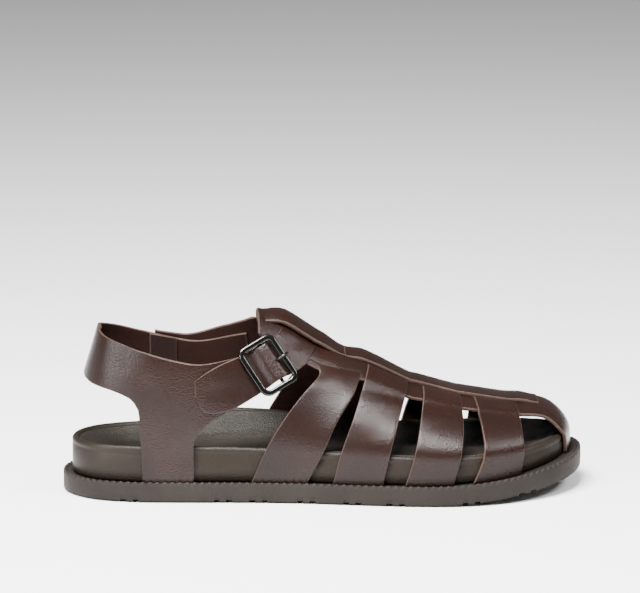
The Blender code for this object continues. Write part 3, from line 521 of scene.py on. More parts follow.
def leather(name, colour, dark, rough, grain, mottle, shine, cell):
    """Grained leather: colour mottled towards dark, fine pebble and pore bump."""
    m, shader, where = new_material(name)
    socket(shader, "Roughness", rough)
    socket(shader, "Specular IOR Level", shine)
    cloud = added(m, "ShaderNodeTexNoise", [("Scale", CLOUD_SCALE), ("Detail", 6.0)],
                  [("Vector", where)]).outputs["Fac"]
    blend = added(m, "ShaderNodeMapRange",
                  [("From Min", 0.35), ("From Max", 0.70), ("To Max", mottle)], [("Value", cloud)])
    mix = added(m, "ShaderNodeMix", [("A", (*colour, 1)), ("B", (*dark, 1))],
                [("Factor", blend.outputs["Result"])], data_type="RGBA")
    pebble = added(m, "ShaderNodeTexVoronoi", [("Scale", cell)], [("Vector", where)])
    pores = added(m, "ShaderNodeTexNoise", [("Scale", cell * PORES_PER_CELL), ("Detail", 3.0)],
                  [("Vector", where)])
    height = added(m, "ShaderNodeMath", (),
                   [(0, pebble.outputs["Distance"]), (1, pores.outputs["Fac"])], operation="ADD")
    bump = added(m, "ShaderNodeBump", [("Strength", grain), ("Distance", GRAIN_HEIGHT)],
                 [("Height", height.outputs["Value"])])
    gloss = added(m, "ShaderNodeMapRange", [("From Min", 0.3), ("From Max", 0.75),
                                            ("To Min", rough - 0.05), ("To Max", rough + 0.09)],
                  [("Value", cloud)])
    for key, source in (("Base Color", mix.outputs["Result"]), ("Normal", bump.outputs["Normal"]),
                        ("Roughness", gloss.outputs["Result"])):
        m.node_tree.links.new(source, shader.inputs[key])
    return m


def metal(name, colour, rough):
    """Plated steel, a little duller in patches."""
    m, shader, where = new_material(name)
    socket(shader, "Base Color", (*colour, 1))
    socket(shader, "Metallic", 1.0)
    cloud = added(m, "ShaderNodeTexNoise", [("Scale", WEAR_SCALE), ("Detail", 4.0)],
                  [("Vector", where)])
    wear = added(m, "ShaderNodeMapRange", [("To Min", rough), ("To Max", rough + 0.16)],
                 [("Value", cloud.outputs["Fac"])])
    m.node_tree.links.new(wear.outputs["Result"], shader.inputs["Roughness"])
    return m


def finish_mesh(name, vertices, faces, marks, materials):
    """Welded, smooth object on the root body, with its materials."""
    mesh = bpy.data.meshes.new(name)
    mesh.from_pydata([tuple(v) for v in vertices], [], faces)
    for m in materials:
        mesh.materials.append(m)
    mesh.polygons.foreach_set("material_index", marks)
    mesh.polygons.foreach_set("use_smooth", [True] * len(faces))
    work = bmesh.new()
    work.from_mesh(mesh)
    bmesh.ops.remove_doubles(work, verts=work.verts, dist=1e-6)
    bmesh.ops.recalc_face_normals(work, faces=work.faces)
    work.to_mesh(mesh)
    work.free()
    made = bpy.data.objects.new(name, mesh)
    bpy.context.scene.collection.objects.link(made)
    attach(made, "root")
    return made


# Radius of the cut edges, steps round them, and spacings of the grids between them
EDGE = 0.0007
EDGE_STEPS = (0.0, 0.12, 0.35, 0.65, 1.0)
EDGE_POWER = 2.6
EDGE_SHARE = 0.93
FINEST = 0.0011
FINE = 0.0016
WIDE = 0.0018
WIDER = 0.0019
WIDEST = 0.0022
CROWN = 0.0002
DEEPEST_WAVE = 0.0003
SUNK = 0.0004


def spaced(length, step, ends=(True, True)):
    """Places along a length, close together at rounded ends and even between them."""
    near = [EDGE * s for s in EDGE_STEPS]
    first = near if ends[0] else [0.0]
    last = near if ends[1] else [0.0]
    inner = np.linspace(first[-1], length - last[-1], max(3, int(length / step) + 1))
    return np.array(first[:-1] + list(inner) + [length - s for s in last[-2::-1]])


def rounding(place, length, ends=(True, True)):
    """Share of the half thickness at a place: 0 on a rounded end, 1 away from it."""
    f = np.ones_like(place)
    for used, d in ((ends[0], place), (ends[1], length - place)):
        if used:
            t = np.clip(1 - d / EDGE, 0, 1)
            f = f * (1 - t**EDGE_POWER)**(1 / EDGE_POWER)
    return f


# Creases of the outer straps: share of the bed's length and of the girth at both
# ends, half width and height in metres, where a negative height is a trough
CREASES = [
    (0.500, 0.700, 0.545, 0.800, 0.0035, -0.00045), (0.470, 0.560, 0.540, 0.640, 0.0050, 0.00045),
    (0.420, 0.330, 0.500, 0.400, 0.0060, -0.00035), (0.560, 0.520, 0.640, 0.560, 0.0050, 0.00040),
    (0.545, 0.300, 0.600, 0.330, 0.0060, -0.00030), (0.700, 0.500, 0.760, 0.540, 0.0050, 0.00035),
    (0.815, 0.480, 0.880, 0.500, 0.0050, 0.00030), (0.400, 0.640, 0.455, 0.700, 0.0016, -0.00028),
    (0.408, 0.700, 0.452, 0.760, 0.0014, 0.00022), (0.412, 0.760, 0.460, 0.830, 0.0014, -0.00022),
    (0.420, 0.820, 0.462, 0.890, 0.0012, 0.00018), (0.285, 0.400, 0.330, 0.470, 0.0045, -0.00035),
    (0.100, 0.520, 0.105, 0.700, 0.0060, -0.00045), (0.160, 0.480, 0.170, 0.640, 0.0070, 0.00050),
    (0.235, 0.250, 0.240, 0.560, 0.0080, 0.00040), (0.215, 0.100, 0.300, 0.200, 0.0060, -0.00025),
    (0.460, 0.880, 0.520, 0.930, 0.0030, -0.00035), (0.560, 0.930, 0.600, 0.880, 0.0030, -0.00030),
]


def crease_height(points):
    """Height of the listed creases at points of the straps."""
    total = np.zeros(points.shape[:-1])
    for a0, g0, a1, g1, width, height in CREASES:
        start, end = at_girth(a0, g0, -1), at_girth(a1, g1, -1)
        run = end - start
        t = np.clip((points - start) @ run / (run @ run), 0, 1)
        gap = np.linalg.norm(points - start - t[..., None] * run, axis=-1)
        total += height * np.exp(-(gap / width)**2)
    return total


def leather_piece(name, grid, out, low, high, row_round, col_round, materials, crown=CROWN):
    """Strap or panel with rounded cut edges: faces are marked outer 0, edge 1, inner 2."""
    f = row_round[:, None] * col_round[None, :]
    low = np.broadcast_to(low, grid.shape[:2])
    high = np.broadcast_to(high, grid.shape[:2])
    middle = (low + high) / 2
    half = (high - low) / 2
    wave = np.maximum(crease_height(grid), -DEEPEST_WAVE) * f
    soft = crown * f + wave
    top = grid + out * (middle + half * f + soft)[..., None]
    base = grid + out * (middle - half * f + soft * 0.5)[..., None]
    rows, cols = grid.shape[:2]
    vertices = np.vstack([base.reshape(-1, 3), top.reshape(-1, 3)])
    count = rows * cols
    faces, marks = [], []
    for i in range(rows - 1):
        for j in range(cols - 1):
            # Faces on the rounded margins take the lighter cut-edge colour: the edge's own colour, and
            # partly a painted highlight along the edges.
            edge = min(f[i, j], f[i + 1, j], f[i, j + 1], f[i + 1, j + 1]) < EDGE_SHARE
            a, b, c, d = (i * cols + j, (i + 1) * cols + j, (i + 1) * cols + j + 1, i * cols + j + 1)
            faces.append((a, b, c, d))
            marks.append(1 if edge else 2)
            faces.append((d + count, c + count, b + count, a + count))
            marks.append(1 if edge else 0)
    sides = [(j, cols, rows, col_round[j]) for j in (0, cols - 1)]
    sides += [(i * cols, 1, cols, row_round[i]) for i in (0, rows - 1)]
    for first, step, number, flat in sides:
        if flat > 0.01:
            for a in range(first, first + (number - 1) * step, step):
                faces.append((a, a + step, a + step + count, a + count))
                marks.append(1)
    return finish_mesh(name, vertices, faces, marks, materials)


def line_length(points):
    return float(runs(points)[-1])


def at_places(points, places):
    """Points of a line at places that are stretched to its own length."""
    run = runs(points)
    return on_line(points, run, places / places[-1] * run[-1])


def spread(first, second, row_step, col_step, row_ends=(True, True), col_ends=(True, True)):
    """Fine grid on the last between two edge lines, with its rounding factors."""
    length = (line_length(first) + line_length(second)) / 2
    width = float(np.linalg.norm(first - second, axis=1).mean())
    down = spaced(length, row_step, row_ends)
    over = spaced(width, col_step, col_ends)
    a, b = at_places(first, down), at_places(second, down)
    t = (over / width)[None, :, None]
    grid = snap(a[:, None, :] * (1 - t) + b[:, None, :] * t)
    return grid, rounding(down, length, row_ends), rounding(over, width, col_ends)


def girth_edges(table, side_rows):
    """Rear and front edge lines of a strap from its table, on dense rows."""
    rear = np.array([at_girth(float(curve(table, g)), g, s) for g, s in side_rows])
    front = np.array([at_girth(float(curve(table, g, 2)), g, s) for g, s in side_rows])
    return rear, front


def over_the_foot(count=60):
    up = [(g, -1) for g in np.linspace(0, 1, count)]
    down = [(g, 1) for g in np.linspace(1, 0, count)[1:]]
    return up + down


def strap_piece(name, table, materials):
    rear, front = girth_edges(table, over_the_foot())
    grid, row_round, col_round = spread(rear, front, FINE, FINE)
    low, high = strap_offsets(grid)
    grid[..., 2] = np.maximum(grid[..., 2], bed_base(grid[..., 0]))
    return leather_piece(name, grid, normals(grid), low, high, row_round, col_round, materials)


def strap_offsets(grid):
    across = ridge_distance(grid)
    d = np.abs(across)
    half = band_half(share(grid[..., 0]), across) - LEATHER
    past = (d - BRIDGE_WIDTH / 2) / WEAVE_RAMP + 0.25
    over = smooth(past) * (1 - smooth((d - half) / WEAVE_RAMP / 1.5))
    under = 1 - smooth(past / 0.75)
    lift = WEAVE_LIFT * over
    return lift + SUNK * under, LEATHER + lift - EMBED * under


WING_PROUD = 0.00006


def wing_piece(name, table, side, materials):
    girths = [(g, side) for g in np.linspace(0, 0.86, 50)]
    rear, front = girth_edges(table, girths)
    grid, row_round, col_round = spread(rear, front, FINE, WIDE, (True, False))
    inwards = band_half(share(grid[..., 0]), side) - LEATHER - np.abs(ridge_distance(grid))
    grid[..., 2] = np.maximum(grid[..., 2], bed_base(grid[..., 0]))
    low = SUNK * smooth(inwards / WEAVE_RAMP)
    high = LEATHER + WING_PROUD - EMBED * smooth(inwards / (2 * WEAVE_RAMP))
    return leather_piece(name, grid, normals(grid), low, high, row_round, col_round, materials)


FLARE = 0.0018
FLARE_LENGTH = 0.011
FLARE_START = 0.004
FLARE_RAMP = 0.012
BAND_SINK = 0.0007
SINK_WIDTH = 0.007
SINK_SPAN = (0.455, 0.59)
SINK_RAMP = 0.02


def band_piece(materials):
    """Band along the ridge and over the toe, with a flared flap at its rear."""
    stations = np.linspace(BAND[0][0], BAND[-1][0], 90)
    columns = 31
    rows = []
    for along in stations[:-1]:
        d = np.linspace(-float(band_half(along)), float(band_half(along, 1)), columns)
        rows.append(from_ridge(HEEL_X + along * BED_LENGTH, d))
    grid = np.vstack([np.array(rows), toe_band_rows(44, columns)])
    middle = grid[:, columns // 2]
    length = line_length(middle)
    width = BAND_WIDTH + INNER_MARGIN
    down = spaced(length, WIDER)
    over = spaced(width, WIDE)
    grid = np.stack([at_places(grid[:, j], down) for j in range(columns)], axis=1)
    grid = np.stack([at_places(grid[i], over) for i in range(len(down))], axis=0)
    out = grid_normals(grid)
    side = np.minimum(over, width - over)[None, :]
    flare = (FLARE * (1 - smooth(down / FLARE_LENGTH))[:, None]
             * smooth((np.abs(over - width / 2) - FLARE_START) / FLARE_RAMP)[None, :])
    along = share(grid[..., 0])
    zone = smooth((along - SINK_SPAN[0]) / SINK_RAMP) * smooth((SINK_SPAN[1] - along) / SINK_RAMP)
    sink = BAND_SINK * zone * (1 - smooth(side / SINK_WIDTH))
    return leather_piece("upper_band", grid, out, flare, LEATHER + flare - sink,
                         rounding(down, length), rounding(over, width), materials)


BRIDGE_MARGINS = (0.047, 0.052, 0.052, 0.052)
BRIDGE_RAMPS = (0.30, 0.20, 0.20, 0.20)
BRIDGE_PROUD = 0.00015
BRIDGE_STEP = 0.0003


def bridge_piece(k, start, end, lift, materials):
    """Middle strip of the band where it rises over a strap."""
    margin = BRIDGE_MARGINS[k]
    along = np.linspace(start - margin, end + margin, 40)
    half = BRIDGE_WIDTH / 2
    lines = [np.array([from_ridge(HEEL_X + a * BED_LENGTH, [d])[0] for a in along])
             for d in (-half, 0.0, half)]
    length = line_length(lines[1])
    down = spaced(length, FINE)
    over = spaced(2 * half, WIDE)
    t = down / length
    xs = at_places(lines[1], down)[:, 0]
    grid = np.array([from_ridge(x, over - half) for x in xs])
    raised = smooth(np.minimum(t, 1 - t) / BRIDGE_RAMPS[k])
    low = SUNK + (lift - BRIDGE_STEP) * raised
    high = LEATHER + BRIDGE_PROUD + (lift + BRIDGE_STEP) * raised
    return leather_piece(f"upper_bridge_{k}", grid, normals(grid), low[:, None], high[:, None],
                         rounding(down, length), rounding(over, 2 * half), materials,
                         crown=BRIDGE_STEP)


def quarter_piece(materials):
    """Heel strap with its posts and arms, on the heel part's own surface."""
    low_run, low, top_run, top = quarter_rows()
    low = np.maximum(low, bed_base(np.interp(low_run, PLAN_RUN, PLAN[:, 0])))
    count = len(low_run)
    fine = np.linspace(0, count - 1, 5 * count)
    low_run, low, top_run, top = (np.interp(fine, range(count), v)[:, None]
                                  for v in (low_run, low, top_run, top))
    upper = heel_point(top_run[:, 0], top[:, 0])
    width = float(np.linalg.norm(heel_point(low_run[:, 0], low[:, 0]) - upper, axis=1).mean())
    over = spaced(width, WIDEST)
    t = (over / width)[None, :]
    run, height = low_run * (1 - t) + top_run * t, low * (1 - t) + top * t
    points, out = heel_surface(run.ravel(), height.ravel())
    return leather_piece("upper_quarter", points.reshape(*run.shape, 3), out.reshape(*run.shape, 3),
                         0.0, LEATHER, rounding(runs(upper), line_length(upper)),
                         rounding(over, width), materials)


def heel_surface(run, height, step=0.0004):
    points = heel_point(run, height)
    round_heel = heel_point(run + step, height) - heel_point(run - step, height)
    upwards = heel_point(run, height + step) - heel_point(run, height - step)
    out = np.cross(upwards, round_heel)
    return points, out / np.linalg.norm(out, axis=1)[:, None]


STRAP_LOW = 0.0005


def instep_piece(materials):
    """Strap through the buckle: humps over the centre bar, dips under the band."""
    numbered = [(k, *row) for k, row in enumerate(INSTEP)]
    index = np.linspace(0, len(INSTEP) - 1, 220)
    lines = []
    for a_col, g_col in ((1, 2), (3, 4)):
        anchor = [at_girth(r[a_col], abs(r[g_col]), -1 if r[g_col] < 0 else 1) for r in numbered]
        anchor = [(k, *p) for k, p in enumerate(anchor)]
        lines.append(snap(np.column_stack([curve(anchor, index, c) for c in (1, 2, 3)])))
    length = (line_length(lines[0]) + line_length(lines[1])) / 2
    width = float(np.linalg.norm(lines[0] - lines[1], axis=1).mean())
    down = spaced(length, FINEST)
    over = spaced(width, FINE)
    a, b = at_places(lines[0], down), at_places(lines[1], down)
    t = (over / width)[None, :, None]
    grid = snap(a[:, None, :] * (1 - t) + b[:, None, :] * t)
    row_round, col_round = rounding(down, length), rounding(over, width)
    centre, along, across, out = buckle_frame_axes()
    rel = grid - centre
    d = rel @ along
    early = (np.arange(len(down)) < len(down) * 0.5)[:, None]
    near = (np.abs(rel @ across) < BUCKLE_WIDTH / 2) * early
    past_bar = d - BAR_AHEAD
    reach = np.where(past_bar < 0, HUMP_BEHIND, HUMP_AHEAD)
    hump = smooth((reach - np.abs(past_bar)) / (reach - HUMP_TOP)) * near
    rd = np.abs(ridge_distance(grid))
    under = 1 - smooth(((rd - BRIDGE_WIDTH / 2) / WEAVE_RAMP + 0.25) / 0.75)
    base = LEATHER - EMBED
    low = base + (STRAP_LOW - base) * under
    high = base + LEATHER - LEATHER * under
    n = normals(grid)
    rise = (BAR_LEVEL + CENTRE_BAR / 2 + GAP - rel @ out - base) * hump
    return leather_piece("upper_instep_strap", grid + rise[..., None] * out, n, low, high,
                         row_round, col_round, materials)


def ring_piece(name, rings, materials, marks, bottom=True):
    """Smooth solid from stacked rings; marks gives each band's material."""
    count = len(rings[0])
    faces, index = [], []
    for level in range(len(rings) - 1):
        low, high = level * count, (level + 1) * count
        for k in range(count):
            m = (k + 1) % count
            faces.append([low + k, low + m, high + m, high + k])
            index.append(marks[level])
    for level in [0, len(rings) - 1] if bottom else [len(rings) - 1]:
        cap = pairs_cap(list(range(level * count, (level + 1) * count)))
        faces += cap
        index += [marks[min(level, len(marks) - 1)]] * len(cap)
    return finish_mesh(name, np.vstack(rings), faces, index, materials)


PER_TOOTH = 8
ROPE_HEIGHT = 0.0008
GROOVES = (0.115, 0.30, 0.64, 0.79, 0.905, 0.37, 0.465, 0.555)


def outsole_piece(materials):
    """Sole with rounded teeth on its rim, a rope row inside them, and grooves below."""
    loop = closed_curve([(HEEL_X + a * BED_LENGTH, c * BALL_WIDTH) for a, c in OUTLINE], 40)
    normal = outward(loop)
    welt = HEEL_WELT + (TOE_WELT - HEEL_WELT) * smooth(share(loop[:, 0]))
    edge = loop + normal * welt[:, None]
    teeth = 2 * round(line_length(np.vstack([edge, edge[:1]])) / TOOTH_PITCH / 2)
    count = PER_TOOTH * teeth
    edge = resample(edge, count)
    normal = outward(edge)
    rise = spring(edge[:, 0])
    turn = np.arange(count) * math.pi / PER_TOOTH
    tooth = TOOTH_HEIGHT * np.abs(np.sin(turn))**0.8
    rope = ROPE_HEIGHT * np.abs(np.cos(turn))**0.8
    top = rise + SOLE_THICK
    profile = [
        (0.0014, rise), (0.0004, rise + 0.0003), (0.0, rise + 0.0011),
        (-0.0001, rise + 0.5 * SOLE_THICK), (0.0, top - 0.0009), (0.0001, top + 0.45 * tooth),
        (0.0005, top + 0.95 * tooth), (0.0012, top + tooth), (0.0019, top + 0.55 * tooth),
        (0.0024, top), (0.0028, top + 0.6 * rope), (0.0034, top + rope),
        (0.0041, top + 0.6 * rope), (0.0045, top),
    ]
    rings = [inset_ring(edge, normal, inset, z) for inset, z in profile]
    made = ring_piece("outsole_body", rings, materials, [1, 1] + [0] * (len(rings) - 3))
    cut = bmesh.new()
    for along in GROOVES:
        for step in (-0.5, 0.5):
            x = HEEL_X + along * BED_LENGTH + step * GROOVE_SPACING
            slope = math.atan2(float(spring(x + 0.001) - spring(x - 0.001)), 0.002)
            place = (Matrix.Translation((x, 0, float(spring(x)))) @ Matrix.Rotation(-slope, 4, "Y")
                     @ Matrix.Diagonal((GROOVE_WIDTH, 2 * BALL_WIDTH, 2 * GROOVE_DEPTH, 1)))
            bmesh.ops.create_cube(cut, size=1, matrix=place)
    mesh = bpy.data.meshes.new("grooves")
    cut.to_mesh(mesh)
    cut.free()
    mesh.materials.append(materials[0])
    cutter = bpy.data.objects.new("grooves", mesh)
    bpy.context.scene.collection.objects.link(cutter)
    modifier = made.modifiers.new("grooves", "BOOLEAN")
    modifier.operation = "DIFFERENCE"
    modifier.solver = "EXACT"
    modifier.object = cutter
    view = bpy.context.evaluated_depsgraph_get()
    cut_mesh = bpy.data.meshes.new_from_object(made.evaluated_get(view))
    made.modifiers.clear()
    made.data = cut_mesh
    bpy.data.objects.remove(cutter)
    return made


PULL = 0.00012
BED_POINTS = 420


def footbed_piece(materials):
    """Wrapped bed: soft wall, rolled rim with pulled leather, hollow inside."""
    loop = resample(BED_LOOP, BED_POINTS)
    normal = outward(loop)
    x = loop[:, 0]
    rise, lean = inner_rise(loop)
    low, high = bed_base(x), rim_z(x) + rise
    phase = np.arange(BED_POINTS)
    pull = PULL * np.sin(phase * 1.7) * np.sin(phase * 0.61)
    profile = [
        (0.0008, low), (0.0001, low + 0.0012), (0.0, low + 0.35 * (high - low)),
        (lean + 0.0001, high - 0.0048), (lean + 0.0005, high - 0.0041),
        (lean + 0.0002, high - 0.0033), (lean + 0.0001 + pull, high - 0.0022),
        (lean + 0.0005 + pull, high - 0.0010), (lean + 0.0012, high - 0.0002),
        (lean + 0.0021, high + pull), (lean + 0.0030, high - 0.0003),
        (lean + 0.0038, high - 0.0011),
    ]
    rings = [inset_ring(loop, normal, inset, z) for inset, z in profile]
    for level, inset in enumerate(BED_INSETS):
        heights = bed_heights(loop, level) + (-0.0006 if level else 0.0004)
        rings.append(inset_ring(loop, normal, inset * BALL_WIDTH, heights))
    return ring_piece("footbed_body", rings, materials, [0] * len(rings))


def insole_piece(materials):
    """Lining sheet over the hollow, with soft dents under heel and ball."""
    loop = resample(BED_LOOP, 300)
    normal = outward(loop)
    rings = []
    insets = [inset * BALL_WIDTH for inset in BED_INSETS]
    for q in np.linspace(0, 3, 16):
        a = int(min(q, 2))
        t = q - a
        inset = insets[a] * (1 - t) + insets[a + 1] * t
        z = bed_heights(loop, a) * (1 - t) + bed_heights(loop, a + 1) * t
        rings.append(inset_ring(loop, normal, inset, z + GAP + INSOLE_THICK))
    edge = inset_ring(loop, normal, insets[0] - 0.0002, bed_heights(loop, 0) + 0.0006)
    return ring_piece("insole_sheet", [edge] + rings, materials, [0] * (len(rings) + 1),
                      bottom=False)


def swept(path, ring, top, closed=False, fat=1.0):
    """Points and faces of a bar along a path, its section a ring of (side, up) places."""
    path, top = np.array(path, float), np.array(top, float)
    ahead = np.gradient(path, axis=0)
    if closed:
        ahead = np.roll(path, -1, axis=0) - np.roll(path, 1, axis=0)
    side = np.cross(ahead / np.linalg.norm(ahead, axis=1)[:, None], top)
    count, sides = len(path), len(ring)
    fat = np.broadcast_to(fat, count)
    points = [path[k] + fat[k] * (side[k] * s + top * u) for k in range(count) for s, u in ring]
    faces = []
    for k in range(count if closed else count - 1):
        m = (k + 1) % count
        for s in range(sides):
            r = (s + 1) % sides
            faces.append([k * sides + s, k * sides + r, m * sides + r, m * sides + s])
    return points, faces


def tube(name, path, ring, top, closed, material):
    """Bar of the buckle, laid out in the buckle's own axes."""
    points, faces = swept(path, ring, top, closed)
    if not closed:
        faces.append(list(range(len(ring))))
        faces.append(list(range(len(points) - len(ring), len(points))))
    made = finish_mesh(name, points, faces, [0] * len(faces), [material])
    made.data.transform(buckle_matrix())
    made.data.update()
    return made


def round_ring(wire):
    return soft_ring(wire, wire, 2, 20)


def soft_ring(width, height, power=3.4, sides=28):
    """Section between an ellipse and a rectangle."""
    out = []
    for k in range(sides):
        a = 2 * math.pi * k / sides
        c, s = math.cos(a), math.sin(a)
        out.append((width / 2 * math.copysign(abs(c)**(2 / power), c),
                    height / 2 * math.copysign(abs(s)**(2 / power), s)))
    return out


def buckle_pieces(material):
    half_x = (BUCKLE_LENGTH - BUCKLE_WIRE) / 2
    half_y = (BUCKLE_WIDTH - BUCKLE_WIRE) / 2
    corner = BUCKLE_CORNER - BUCKLE_WIRE / 2
    path = []
    for quadrant, (sx, sy) in enumerate(((1, 1), (-1, 1), (-1, -1), (1, -1))):
        for k in range(13):
            a = math.pi / 2 * (quadrant + k / 12)
            path.append((sx * (half_x - corner) + corner * math.cos(a),
                         sy * (half_y - corner) + corner * math.sin(a), FRAME_LEVEL))
    frame_ring = tube("buckle_frame_ring", path, soft_ring(BUCKLE_WIRE, BUCKLE_WIRE * 0.86),
                      (0, 0, 1), True, material)
    inner = half_y - BUCKLE_WIRE / 2
    ends = [(BAR_AHEAD, -half_y, FRAME_LEVEL), (BAR_AHEAD, -inner - 0.0004, BAR_LEVEL + 0.0005),
            (BAR_AHEAD, -inner + 0.0006, BAR_LEVEL), (BAR_AHEAD, inner - 0.0006, BAR_LEVEL),
            (BAR_AHEAD, inner + 0.0004, BAR_LEVEL + 0.0005), (BAR_AHEAD, half_y, FRAME_LEVEL)]
    bar = tube("buckle_centre_bar", ends, round_ring(CENTRE_BAR), (1, 0, 0), False, material)
    eye_r = CENTRE_BAR / 2 + GAP + EYE_WALL / 2
    eye_path = [(BAR_AHEAD + eye_r * math.cos(a), 0, BAR_LEVEL + eye_r * math.sin(a))
                for a in np.arange(28) * 2 * math.pi / 28]
    eye = tube("buckle_prong_eye", eye_path, soft_ring(EYE_WALL, PRONG_WIRE), (0, 1, 0), True,
               material)
    top = FRAME_LEVEL + BUCKLE_WIRE / 2 + GAP + PRONG_WIRE / 2 - 0.0003
    far = (BUCKLE_LENGTH - BUCKLE_WIRE) / 2
    start = BAR_AHEAD + eye_r
    rise = top - BAR_LEVEL
    run = far - start
    rough = [(start, BAR_LEVEL), (start + 0.15 * run, BAR_LEVEL + 0.28 * rise),
             (start + 0.38 * run, BAR_LEVEL + 0.72 * rise),
             (start + 0.68 * run, top - 0.05 * rise), (far, top),
             (far + 0.8 * BUCKLE_WIRE, top - 0.08 * rise)]
    keyed = [(k, *p) for k, p in enumerate(rough)]
    steps = np.linspace(0, len(rough) - 1, 26)
    prong_path = [(float(curve(keyed, q, 1)), 0, float(curve(keyed, q, 2))) for q in steps]
    prong = tube("buckle_prong_shaft", prong_path, round_ring(PRONG_WIRE), (0, 1, 0), False,
                 material)
    for piece in (frame_ring, bar):
        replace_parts(piece, "buckle_frame")
    for piece in (eye, prong):
        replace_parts(piece, "buckle_prong")


# Stitches beside the strap's tip: depth under the quarter's edge, then run round the footbed
# from the heel as shares of its length
STITCH_ROWS = (
    (0.0020, (-0.372, -0.363, -0.354, -0.345, -0.336, -0.327, -0.318)),
    (0.0046, (-0.330, -0.321, -0.312)),
)
STITCH_LENGTH = 0.0016
THREAD = 0.00032


def stitches(material):
    """Two rows of thread at the quarter's top edge, thin at both ends of each stitch."""
    edge_runs, edge_heights = zip(*[(-row[2], row[3]) for row in reversed(QUARTER)])
    along = np.linspace(-1, 1, 7)
    fat = np.sqrt(1 - np.abs(along)**3) + 0.1
    ring = soft_ring(2 * THREAD, 2 * THREAD, 2, 8)
    vertices, faces = [], []
    for depth, shares in STITCH_ROWS:
        for run in shares:
            height = np.interp(-run, edge_runs, edge_heights) * INSTEP_HEIGHT - depth
            places, out = heel_surface(run * BED_LENGTH + np.array([0.001, 0.0, -0.001]),
                                       np.full(3, height))
            ahead = (places[2] - places[0]) / np.linalg.norm(places[2] - places[0])
            middle = places[1] + out[1] * (LEATHER + THREAD / 3)
            path = middle + np.outer(along, ahead) * STITCH_LENGTH / 2
            points, around = swept(path, ring, out[1], fat=fat)
            faces += [[len(vertices) + v for v in face] for face in around]
            vertices += points
    finish_mesh("upper_stitches", vertices, faces, [0] * len(faces), [material])


# Lap of the instep strap on the inner side: shares of the bed's length, then of the girth at its
# upper and lower edge
LAP = [(0.158, 0.545, 0.400), (0.172, 0.535, 0.395), (0.186, 0.527, 0.390), (0.200, 0.520, 0.385),
       (0.213, 0.515, 0.380)]
LAP_INSIDE = -0.0011
LAP_OUTSIDE = 0.0002


def lap_patch(materials):
    """Lap on the inner face of the inner heel strap, where it joins the instep strap."""
    top, bottom = (np.array([at_girth(row[0], row[c], 1) for row in LAP]) for c in (1, 2))
    grid, row_round, col_round = spread(top, bottom, FINE, FINE)
    leather_piece("upper_lap", grid, normals(grid), LAP_INSIDE, LAP_OUTSIDE, row_round, col_round,
                  materials)


# Lights: name, place, point that it faces, width and height, power in watts
LIGHTS = [
    ("overhead", (-0.25, -0.52, 1.18), (0, 0, 0.03), (0.75, 0.30), 100),
    ("front", (-1.20, -0.95, 0.60), (-0.08, 0, 0.06), (0.10, 0.6), 32),
    ("toe side", (0.9, -0.40, 1.0), (0.07, 0, 0.05), (0.25, 0.4), 16),
]
SKY = 0.28
FLOOR_HALF = 6.0
FLOOR_DROP = 0.0002


def area_light(name, place, aim, size, power):
    data = bpy.data.lights.new(name, "AREA")
    data.shape = "RECTANGLE"
    data.size, data.size_y = size
    data.energy = power
    made = bpy.data.objects.new(name, data)
    made.location = place
    made.rotation_euler = (Vector(aim) - Vector(place)).to_track_quat("-Z", "Y").to_euler()
    bpy.context.scene.collection.objects.link(made)


def studio():
    """Pale floor, soft light from above and both sides, camera as in the photograph."""
    world = bpy.data.worlds.new("studio")
    bpy.context.scene.world = world
    world.use_nodes = True
    sky = world.node_tree.nodes["Background"]
    sky.inputs["Color"].default_value = (1, 1, 1, 1)
    sky.inputs["Strength"].default_value = SKY
    for light in LIGHTS:
        area_light(*light)
    mesh = bpy.data.meshes.new("floor")
    s = FLOOR_HALF
    mesh.from_pydata([(-s, -s, 0), (s, -s, 0), (s, s, 0), (-s, s, 0)], [], [(0, 1, 2, 3)])
    floor = bpy.data.objects.new("floor", mesh)
    floor.location.z = -FLOOR_DROP
    white = bpy.data.materials.new("floor")
    white.use_nodes = True
    shader = white.node_tree.nodes["Principled BSDF"]
    socket(shader, "Base Color", (0.93, 0.93, 0.93, 1))
    socket(shader, "Roughness", 0.7)
    mesh.materials.append(white)
    bpy.context.scene.collection.objects.link(floor)
    turn, lift = math.radians(CAMERA_TURN), math.radians(CAMERA_LIFT)
    look = Vector((-math.sin(turn) * math.cos(lift), math.cos(turn) * math.cos(lift),
                   -math.sin(lift)))
    data = bpy.data.cameras.new("camera")
    data.sensor_width = 36
    data.lens = 36 * CAMERA_DISTANCE / VIEW_WIDTH
    data.shift_x, data.shift_y = VIEW_SHIFT
    data.clip_end = 20
    camera = bpy.data.objects.new("camera", data)
    camera.location = Vector((0, 0, CAMERA_HEIGHT)) - look * CAMERA_DISTANCE
    camera.rotation_euler = look.to_track_quat("-Z", "Y").to_euler()
    bpy.context.scene.collection.objects.link(camera)
    bpy.context.scene.camera = camera


CAMERA_TURN = -3.0
CAMERA_LIFT = 13.0
CAMERA_DISTANCE = 1.8
CAMERA_HEIGHT = 0.05
VIEW_WIDTH = 0.3643
VIEW_SHIFT = (-0.0047, 0.159)

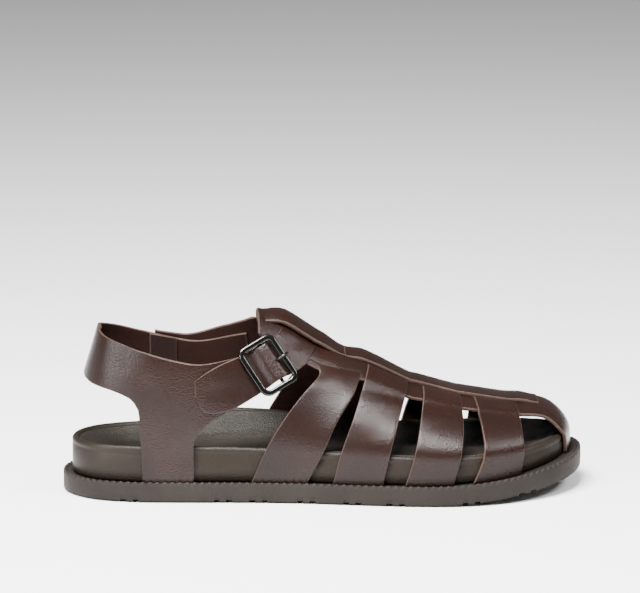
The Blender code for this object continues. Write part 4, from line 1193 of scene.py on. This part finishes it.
# Leathers: name, colour, darker colour, roughness, grain, mottle, shine, grain cells in a metre
LEATHERS = [
    ("strap leather", (0.0105, 0.0040, 0.0027), (0.0045, 0.0016, 0.0011), 0.27, 0.35, 0.7, 0.22, 1100),
    # The strap edge colour is the cut edge's own lighter colour and partly a painted highlight along
    # the rounded edges.
    ("strap edge and painted highlight", (0.052, 0.030, 0.023), (0.013, 0.0060, 0.0042), 0.42, 0.5, 0.7, 0.2, 1500),
    ("strap back", (0.0125, 0.0040, 0.0024), (0.0070, 0.0023, 0.0015), 0.60, 0.5, 0.6, 0.10, 1100),
    ("footbed wrap", (0.0125, 0.0088, 0.0058), (0.0080, 0.0056, 0.0038), 0.40, 0.4, 0.6, 0.14, 1100),
    ("insole lining", (0.0200, 0.0165, 0.0130), (0.0080, 0.0064, 0.0050), 0.42, 1.0, 0.8, 0.2, 1100),
    ("sole rubber", (0.0150, 0.0120, 0.0102), (0.0100, 0.0079, 0.0066), 0.60, 0.4, 0.6, 0.12, 1700),
    ("sole tread", (0.0080, 0.0066, 0.0058), (0.0050, 0.0041, 0.0036), 0.75, 0.6, 0.5, 0.1, 1100),
    ("stitch thread", (0.0020, 0.0012, 0.0009), (0.0014, 0.0008, 0.0006), 0.6, 0.4, 0.5, 0.1, 1100),
]

outer, cut, back, wrap, lining, rubber, tread, thread = [leather(*row) for row in LEATHERS]
steel = metal("gunmetal", (0.038, 0.037, 0.035), 0.08)

straps = [outer, cut, back]
for piece in [strap_piece(f"upper_{name}_strap", table, straps) for name, table in STRAPS.items()]:
    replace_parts(piece, "upper")
for piece in (wing_piece("upper_wing_outer", WING, -1, straps),
              wing_piece("upper_wing_inner", INNER_WING, 1, straps),
              band_piece(straps), quarter_piece(straps), instep_piece(straps)):
    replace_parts(piece, "upper")
for k, (start, end) in enumerate(bridge_crossings()):
    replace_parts(bridge_piece(k, start, end, ARCH_LIFT if k == 0 else WEAVE_LIFT, straps), "upper")
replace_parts(outsole_piece([rubber, tread]), "outsole")
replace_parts(footbed_piece([wrap]), "footbed")
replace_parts(insole_piece([lining]), "insole")
buckle_pieces(steel)
stitches(thread)
lap_patch([outer, cut, outer])
studio()
